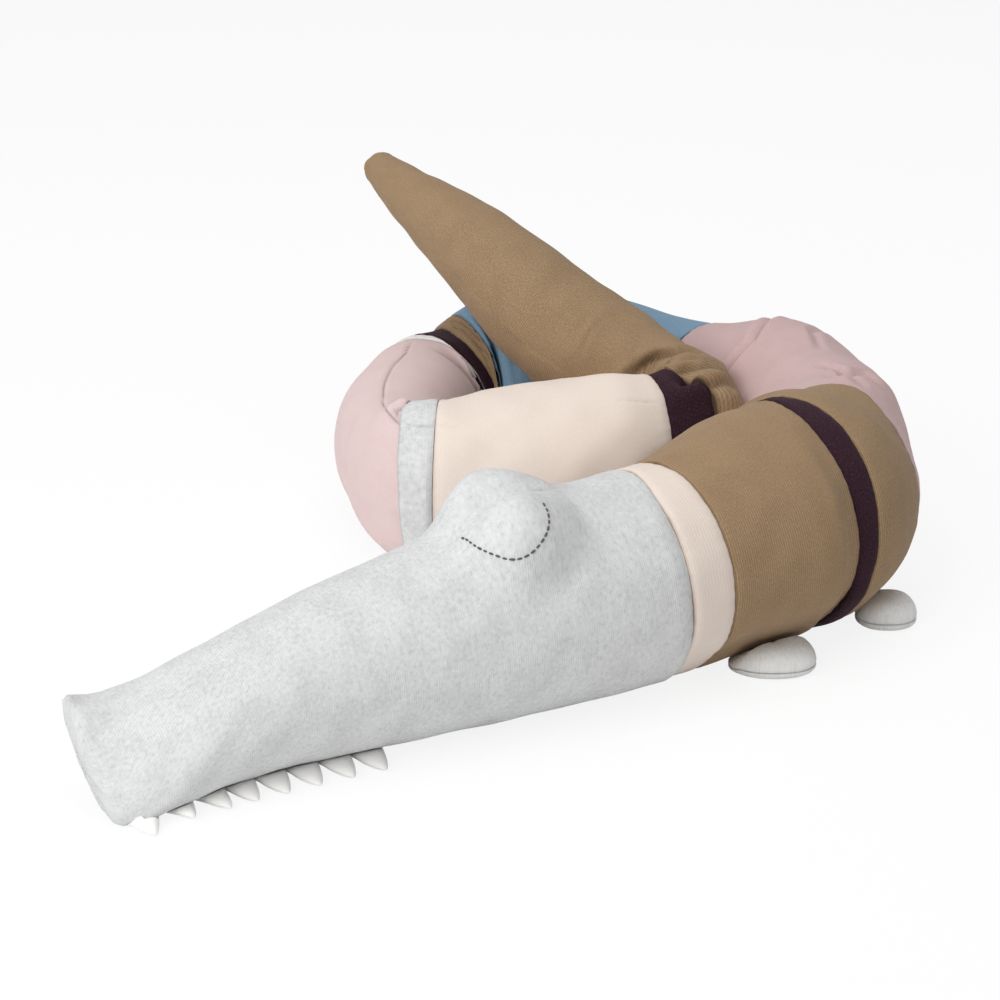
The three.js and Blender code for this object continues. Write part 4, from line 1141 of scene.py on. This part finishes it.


# Weft-knitted cotton jersey, brushed on its face. Real courses lie about 0.9 mm apart and wales 0.8 mm,
# which is too fine to show in the render, so both are drawn nearly twice as coarse. The eye gets soft ribs
# round the body, crossed by the loops. Rib is the height of the courses and groove the painted shade
# between them, streak the fibres of melange yarn, blotch the uneven dyeing and nap the fuzz. Base, light
# and dark are the yarn's own colours, though dark also colours the painted shade between the courses; the
# crease colour is the colour of the shade painted in seams and folds.
evenLook = {"rib": 0.00012, "grooveShade": 0.1, "streak": 0.12, "streakLong": 0.003, "streakWide": 0.001,
            "blotch": 0.08, "nap": 0.0001, "sheen": 0.1}
knits = {
    # melange jersey, brushed: streaks of white and grey fibre blur the ribs to a soft nap
    "greyMelangeJersey": {
        "slot": "grey_melange_knit", "base": "dcdddd", "light": "efefef", "dark": "adaeae",
        "creaseShade": "8c8c8e", "rib": 0.00014, "grooveShade": 0.12, "streak": 0.38, "streakLong": 0.0037,
        "streakWide": 0.0031, "blotch": 0.22, "nap": 0.00022},
    # the grey melange yarn, painted lighter for the feet against the shade they lie in under the body: nearly
    # white with grey streaks
    "lightenedMelangeJersey": {
        "slot": "grey_melange_knit", "base": "f7f7f6", "light": "fdfdfd", "dark": "d0d0cf",
        "creaseShade": "98989a", "rib": 0.00016, "grooveShade": 0.16, "streak": 0.34, "streakWide": 0.0024,
        "blotch": 0.12, "nap": 0.0002},
    # fine smooth jersey, dyed: pale and even, with hardly a rib
    "peachJersey": {
        "slot": "peach_knit", "base": "eadcd1", "light": "f4ebe3", "dark": "d2bcad", "creaseShade": "a98f80",
        "rib": 0.00007, "streak": 0.14, "blotch": 0.06, "nap": 0.00008},
    # jersey of a coarser two-tone yarn: clear ribs, with deep painted shade between the courses
    "camelJersey": {
        "slot": "camel_brown_knit", "base": "aa8e6f", "light": "c4aa82", "dark": "6b5439",
        "creaseShade": "4c3b2b", "rib": 0.00018, "grooveShade": 0.5, "streak": 0.3, "streakLong": 0.0022,
        "blotch": 0.12, "sheen": 0.08},
    # wool knit, felted in the wash: very dark and matt, flecked with pale fibres
    "aubergineFelt": {
        "slot": "aubergine_knit", "base": "2e1420", "light": "66505b", "dark": "210e17", "creaseShade": "150a10",
        "rib": 0.00005, "streak": 0.38, "streakLong": 0.0016, "streakWide": 0.0009, "blotch": 0.1,
        "nap": 0.0003, "sheen": 0.02},
    # washed jersey: a greyed pink, slightly uneven
    "dustyPinkJersey": {
        "slot": "dusty_pink_knit", "base": "cdb1b0", "light": "dcc5c3", "dark": "b49593", "creaseShade": "7d6162",
        "grooveShade": 0.16, "streak": 0.18, "streakWide": 0.0012, "blotch": 0.16, "nap": 0.00012, "sheen": 0.12},
    # jersey of a firmer twist: ribs that show, painted shade between them and near-black painted shade in its
    # folds
    "blueJersey": {
        "slot": "blue_knit", "base": "82a2ba", "light": "9db7ca", "dark": "5a7a93", "creaseShade": "1f2a35",
        "rib": 0.00016, "grooveShade": 0.34, "streak": 0.2},
    # bleached jersey: a warm white
    "whiteJersey": {
        "slot": "white_knit", "base": "eeecea", "light": "f6f5f3", "dark": "d6d3cf", "creaseShade": "8f8b88",
        "grooveShade": 0.14, "blotch": 0.05},
    # fine washed jersey: smooth, with soft clouds of lighter and darker pink
    "rosePinkJersey": {
        "slot": "rose_pink_knit", "base": "dfc9c7", "light": "efdedc", "dark": "d4b5b5", "creaseShade": "7f6566",
        "rib": 0.00008, "grooveShade": 0.08, "streakLong": 0.0035, "streakWide": 0.0014, "blotch": 0.2,
        "sheen": 0.14},
    # bleached cotton in a plain weave, padded: smooth and white. Its threads of 0.4 mm are too fine to show,
    # so the faint ribs on it are as coarse as the knit's.
    "toothCotton": {
        "slot": "tooth_cotton", "base": "fbfaf8", "light": "fefefd", "dark": "eeebe6", "creaseShade": "aaa49b",
        "rib": 0.00005, "streak": 0.1, "streakLong": 0.0012, "streakWide": 0.0011, "nap": 0.00008,
        "sheen": 0.08},
}
coursePitch, walePitch = 0.0017, 0.0015
yarn = {"waver": 0.02, "waverTurns": 5.0, "fibreLong": 0.0009, "fibreWide": 0.0007, "blotchLong": 0.028,
        "blotchWide": 0.022, "roughness": 0.85, "roughnessSpread": 0.1, "specular": 0.2}


# 1 for the rays that see a surface straight, in a mirror or through glass, and 0 for the light it gives
def raysThatSee(tree):
    rays = addNode(tree, "ShaderNodeLightPath")
    seen = rays["Is Camera Ray"]
    for other in ("Is Glossy Ray", "Is Transmission Ray"):
        seen = addNode(tree, "ShaderNodeMath", {"operation": "MAXIMUM"}, {0: seen, 1: rays[other]})[0]
    return seen


def knitMaterial(name, look):
    material, tree = newMaterial(name)
    place = addNode(tree, "ShaderNodeUVMap", {"uv_map": "knitMap"})[0]
    parts = addNode(tree, "ShaderNodeSeparateXYZ", {}, {0: place})
    found = {"across": parts[0], "along": parts[1]}
    for result, sizeU, sizeV, detail, offset in (
            ("waver", yarn["waver"], yarn["waver"], 2.0, 0.0),
            ("fibres", look["streakLong"], look["streakWide"], 3.0, 3.1),
            ("fine", yarn["fibreLong"], yarn["fibreWide"], 1.0, 7.7),
            ("blotches", yarn["blotchLong"], yarn["blotchWide"], 2.0, 11.3)):
        scaled = addNode(tree, "ShaderNodeMapping", {}, {"Vector": place, "Scale": (1 / sizeU, 1 / sizeV, 1),
                                                         "Location": (offset, offset * 0.7, 0)})[0]
        found[result] = addNode(tree, "ShaderNodeTexNoise", {"noise_dimensions": "2D"},
                                {"Vector": scaled, "Scale": 1.0, "Detail": detail, "Roughness": 0.55})[0]
    for result, source, low, high, most in (
            ("lightFibres", "fibres", 0.5, 0.78, look["streak"]),
            ("darkFibres", "fibres", 0.5, 0.22, look["streak"]),
            ("uneven", "blotches", 0.35, 0.75, look["blotch"])):
        inputs = {"Value": found[source], "From Min": low, "From Max": high, "To Max": most}
        found[result] = addNode(tree, "ShaderNodeMapRange", {"interpolation_type": "SMOOTHSTEP"}, inputs)[0]
    # result, operation and terms: the ribs of the courses, the loops of the wales, then the heights
    for result, operation, *terms in (
            ("wander", "MULTIPLY", "waver", yarn["waverTurns"]),
            ("course", "MULTIPLY_ADD", "along", 2 * math.pi / coursePitch, "wander"),
            ("courseWave", "SINE", "course"), ("rib", "MULTIPLY_ADD", "courseWave", 0.5, 0.5),
            ("wale", "MULTIPLY", "across", 2 * math.pi / walePitch),
            ("waleWave", "SINE", "wale"), ("loop", "MULTIPLY_ADD", "waleWave", 0.5, 0.5),
            ("loopShare", "MULTIPLY_ADD", "loop", 0.35, 0.65), ("stitch", "MULTIPLY", "rib", "loopShare"),
            ("between", "SUBTRACT", 1.0, "stitch"), ("grooveShade", "MULTIPLY", "between", look["grooveShade"]),
            ("allFibres", "ADD", "fibres", "fine"), ("fuzz", "MULTIPLY", "allFibres", look["nap"]),
            ("height", "MULTIPLY_ADD", "stitch", look["rib"], "fuzz"),
            ("roughness", "MULTIPLY_ADD", "fine", yarn["roughnessSpread"], yarn["roughness"])):
        inputs = {index: found.get(term, term) for index, term in enumerate(terms)}
        found[result] = addNode(tree, "ShaderNodeMath", {"operation": operation}, inputs)[0]
    # painted shade between the courses and in the seams and folds is mixed in here with the yarn's own
    # blotches and fibres
    found["creaseShade"] = addNode(tree, "ShaderNodeAttribute", {"attribute_name": "creaseShade"})["Fac"]
    colour = linearColour(look["base"])
    for factor, other in (("grooveShade", "dark"), ("uneven", "dark"), ("lightFibres", "light"),
                          ("darkFibres", "dark"), ("creaseShade", "creaseShade")):
        colour = addNode(tree, "ShaderNodeMix", {"data_type": "RGBA"},
                         {0: found[factor], 6: colour, 7: linearColour(look[other])})[2]
    bump = addNode(tree, "ShaderNodeBump", {},
                   {"Strength": 1.0, "Distance": 1.0, "Height": found["height"]})[0]
    shader = addNode(tree, "ShaderNodeBsdfPrincipled", {},
                     {"Base Color": colour, "Roughness": found["roughness"], "Normal": bump,
                      "Sheen Weight": look["sheen"], "Sheen Roughness": 0.5,
                      "Specular IOR Level": yarn["specular"]})[0]
    addNode(tree, "ShaderNodeOutputMaterial", {}, {0: shader})
    return material


# Stranded embroidery cotton, mercerised: dark grey, with its twisted strands as fine slanting stripes that
# have a soft gloss; the stripes are painted lighter on the strand crests and darker between them, as light
# and shade. Real strands are 0.4 mm thick, which is too fine to show, so they are drawn 0.7 mm apart.
thread = {"colour": "37373a", "light": "5b5b5f", "turned": (0.4, 0.7, 0.5), "strandPitch": 0.0006976,
          "relief": 0.0002, "roughness": 0.65}
# The phase of a slanting wave texture grows by this much for each unit along each axis
slantPhase = 10


def threadMaterial(name):
    material, tree = newMaterial(name)
    place = addNode(tree, "ShaderNodeTexCoord")["Object"]
    turned = addNode(tree, "ShaderNodeMapping", {}, {"Vector": place, "Rotation": thread["turned"]})[0]
    scale = 2 * math.pi / (slantPhase * math.sqrt(3) * thread["strandPitch"])
    strands = addNode(tree, "ShaderNodeTexWave", {"wave_type": "BANDS", "bands_direction": "DIAGONAL"},
                      {"Vector": turned, "Scale": scale, "Distortion": 1.5, "Detail": 1.0,
                       "Detail Scale": 2.0})["Fac"]
    # painted light on the strand crests and painted shade between them
    colour = addNode(tree, "ShaderNodeMix", {"data_type": "RGBA"},
                     {0: strands, 6: linearColour(thread["colour"]), 7: linearColour(thread["light"])})[2]
    bump = addNode(tree, "ShaderNodeBump", {},
                   {"Height": strands, "Strength": 0.6, "Distance": thread["relief"]})[0]
    shader = addNode(tree, "ShaderNodeBsdfPrincipled", {},
                     {"Base Color": colour, "Roughness": thread["roughness"], "Sheen Weight": 0.1,
                      "Normal": bump})[0]
    addNode(tree, "ShaderNodeOutputMaterial", {}, {0: shader})
    return material


# Board with matt white emulsion, rolled on: a faint grain and no gloss. Seen straight it is mostly a white
# of its own, so the backdrop is white and the shadows stay faint.
board = {"colour": "fcfcfc", "light": "fefefe", "grainSize": 0.0111, "roughness": 0.95, "ownWhite": 0.86}


def floorMaterial(name):
    material, tree = newMaterial(name)
    place = addNode(tree, "ShaderNodeTexCoord")["Object"]
    grain = addNode(tree, "ShaderNodeTexNoise", {},
                    {"Vector": place, "Scale": 1 / board["grainSize"], "Detail": 3.0})[0]
    colour = addNode(tree, "ShaderNodeMix", {"data_type": "RGBA"},
                     {0: grain, 6: linearColour(board["colour"]), 7: linearColour(board["light"])})[2]
    shader = addNode(tree, "ShaderNodeBsdfPrincipled", {},
                     {"Base Color": colour, "Roughness": board["roughness"], "Specular IOR Level": 0.1})[0]
    white = addNode(tree, "ShaderNodeEmission", {}, {"Color": (1, 1, 1, 1), "Strength": 1.0})[0]
    share = addNode(tree, "ShaderNodeMath", {"operation": "MULTIPLY"},
                    {0: raysThatSee(tree), 1: board["ownWhite"]})[0]
    both = addNode(tree, "ShaderNodeMixShader", {}, {0: share, 1: shader, 2: white})[0]
    addNode(tree, "ShaderNodeOutputMaterial", {}, {0: both})
    return material


materials = {name: knitMaterial(name, {**evenLook, **look}) for name, look in knits.items()}
materials["strandedCotton"] = threadMaterial("strandedCotton")

stitchTree = runningStitchTree()
eyelidPieces = {}
headMesh = pieces["head_cover"].data
headSurface = BVHTree.FromPolygons([point.co for point in headMesh.vertices],
                                   [face.vertices[:] for face in headMesh.polygons])
for sideName, side in (("near", -1), ("far", 1)):
    path = np.array([headSurface.find_nearest(Vector(point))[0] for point in eyelidPath(side)])
    centre = line["centre"][ringAt(eyes["along"])]
    outwards = path - centre
    outwards = outwards / np.linalg.norm(outwards, axis=1, keepdims=True)
    size = (eyelid["stitchLength"] / 2, eyelid["threadWidth"] / 2, eyelid["threadHeight"] / 2)
    values = {"Stitches": eyelid["stitches"], "Stitch size": size, "Unevenness": eyelid["unevenness"]}
    onSkin = path + outwards * eyelid["onSkin"]
    name = f"eyelid_{sideName}_stitches"
    eyelidPieces[sideName] = makeStitches(name, stitchTree, onSkin, outwards, values,
                                          materials["strandedCotton"])
print("eyelids stitched:", {k: len(p.data.polygons) for k, p in eyelidPieces.items()})

# What each piece stands for, and what it moves with

# How far a bend's planes stay outside the rings, and how far past a seam the ring at its other end lies
bend = {"margin": 0.002, "steps": 600, "brown": 0.04, "skull": 0.11, "front": 0.1, "back": 0.11}


def seamAfter(name):
    return seamAlong[panelNames.index(name) + 1]


# The ring of skin at a place along the body, or the wandering seam behind a panel
def ringOfSkin(along, name=None):
    drift = driftOf(name, np.arange(sides) * 360 / sides)
    near = int(np.argmin(np.abs(skinAlong - along)))
    return readColumns(near, near, (along + drift)[None, :])[0]


# Start and end of a bend: the two level planes furthest apart that keep both rings outside them
def planesBetween(first, second):
    here, there = first.mean(0), second.mean(0)
    for step in range(bend["steps"]):
        way = there - here
        nextHere, nextThere = first[np.argmax(first @ way)], second[np.argmin(second @ way)]
        change = nextThere - nextHere - way
        share = min(max(-(way @ change) / max(change @ change, 1e-12), 0), 1)
        here = here + share * (nextHere - here)
        there = there + share * (nextThere - there)
    way = (there - here) / np.linalg.norm(there - here)
    start = here + way * ((first @ way).max() - here @ way + bend["margin"])
    end = start + way * ((second @ way).min() - bend["margin"] - start @ way)
    print("bend over", round(float((end - start) @ way) * 1000), "mm")
    return tuple(start), tuple(end)


headSeam, frontSeam = seamAfter("head_cover"), seamAfter("brown_front_panel")
blueSeam = seamAfter("pink_right_panel")
headRing = ringOfSkin(headSeam, "head_cover")
neckBend = ("front_body", "neck",
            planesBetween(ringOfSkin(seamAfter("collar_band") + bend["brown"]), headRing))
headBend = ("neck", "head", planesBetween(headRing, ringOfSkin(headSeam - bend["skull"])))
frontBend = ("front_body", "middle_body",
             planesBetween(ringOfSkin(frontSeam, "brown_front_panel"),
                           ringOfSkin(frontSeam + bend["front"])))
backBend = ("middle_body", "coil_end",
            planesBetween(ringOfSkin(blueSeam), ringOfSkin(blueSeam + bend["back"])))
tailBend = ("coil_end", "tail",
            planesBetween(ringOfSkin(seamAfter("grey_band"), "grey_band"),
                          ringOfSkin(seamAfter("aubergine_tail_band"), "aubergine_tail_band")))
# Each panel's yarn, the bend worked out for it (the piece then stays where it lies) or the body it rides, and
# the filling it also stands for
panelParts = {
    "head_cover": ("greyMelangeJersey", headBend, "head_filling"),
    "collar_band": ("peachJersey", neckBend, "collar_filling"),
    "brown_front_panel": ("camelJersey", neckBend, "front_filling"),
    "aubergine_front_band": ("aubergineFelt", frontBend),
    "brown_second_panel": ("camelJersey", frontBend),
    "pink_right_panel": ("dustyPinkJersey", frontBend, "middle_filling"),
    "blue_back_panel": ("blueJersey", backBend, "coil_end_filling"),
    "brown_fold_panel": ("camelJersey", "coil_end"),
    "aubergine_back_band": ("aubergineFelt", "coil_end"),
    "white_band": ("whiteJersey", "coil_end"),
    "pink_left_panel": ("rosePinkJersey", "coil_end"),
    "grey_band": ("greyMelangeJersey", "coil_end"),
    "peach_panel": ("peachJersey", tailBend),
    "aubergine_tail_band": ("aubergineFelt", tailBend),
    "tail_cover": ("camelJersey", "tail", "tail_filling"),
}


# Fill values for the body panels and the small pieces, handed to dressPiece
bodyFill, smallFill = 0.8, 0.6


def dressPiece(piece, yarnName, fill, *replaced):
    piece.data.materials.append(materials[yarnName])
    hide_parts(*replaced)


for name, piece in pieces.items():
    yarnName, place, *fillings = panelParts[name]
    dressPiece(piece, yarnName, bodyFill, name, *fillings)
    if isinstance(place, tuple):
        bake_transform(piece)
    else:
        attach(piece, place)

for name, piece in toothPieces.items():
    dressPiece(piece, "toothCotton", smallFill, name)
    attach(piece, "head")

for name, piece in footPieces.items():
    stem = name.rsplit("_", 2)[0]
    fillings = [stem + "_filling"] if name.endswith("upper_cover") else []
    # the feet get the copy of the grey melange painted lighter against the shade under the body
    dressPiece(piece, "lightenedMelangeJersey", smallFill, name, *fillings)
    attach(piece, stem)

for sideName, piece in eyelidPieces.items():
    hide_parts(f"eyelid_{sideName}")
    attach(piece, "head")

# Floor, light and camera

floorSide, floorSink = 6, 0.0002
corners = [(x * floorSide, y * floorSide, 0) for x, y in ((-1, -1), (1, -1), (1, 1), (-1, 1))]
floorData = bpy.data.meshes.new("floor")
floorData.from_pydata(corners, [], [(0, 1, 2, 3)])
floor = addObject("floor", floorData)
floor.location.z = -floorSink
floor.data.materials.append(floorMaterial("paintedBoard"))

# Softboxes as place, target, width, height and watts, and the even light from all round
lamps = {
    "softbox at the left": ((-1.6, -1.8, 1.8), (0, 0, 0.1), 2.2, 1.8, 52),
    "softbox overhead": ((0.0, 0.2, 2.7), (0, 0, 0), 2.6, 2.6, 35),
}
ambientStrength = 0.29

for name, (place, target, width, height, watts) in lamps.items():
    data = bpy.data.lights.new(name, "AREA")
    data.shape = "RECTANGLE"
    data.size, data.size_y = width, height
    data.energy = watts
    lamp = addObject(name, data)
    lamp.location = place
    lamp.rotation_euler = (Vector(target) - Vector(place)).to_track_quat("-Z", "Y").to_euler()

world = bpy.data.worlds.new("white studio")
bpy.context.scene.world = world
world.use_nodes = True
room = world.node_tree
room.nodes.clear()
ambient = addNode(room, "ShaderNodeBackground", {}, {"Color": (1, 1, 1, 1), "Strength": ambientStrength})[0]
backdrop = addNode(room, "ShaderNodeBackground", {}, {"Color": (1, 1, 1, 1), "Strength": 1.0})[0]
mixed = addNode(room, "ShaderNodeMixShader", {}, {0: raysThatSee(room), 1: ambient, 2: backdrop})[0]
addNode(room, "ShaderNodeOutputWorld", {}, {0: mixed})

view = {"place": (-0.014964, -1.945031, 0.92442), "tilt": 23.53, "focal": 2690.71, "frame": 1000,
        "sensor": 36, "nearest": 0.05, "furthest": 30}
cameraData = bpy.data.cameras.new("camera")
cameraData.sensor_width = view["sensor"]
cameraData.lens = view["focal"] / view["frame"] * view["sensor"]
cameraData.clip_start, cameraData.clip_end = view["nearest"], view["furthest"]
camera = addObject("camera", cameraData)
camera.location = view["place"]
camera.rotation_euler = ((90 - view["tilt"]) * degree, 0, 0)
bpy.context.scene.camera = camera
bpy.context.scene.view_settings.view_transform = "Standard"
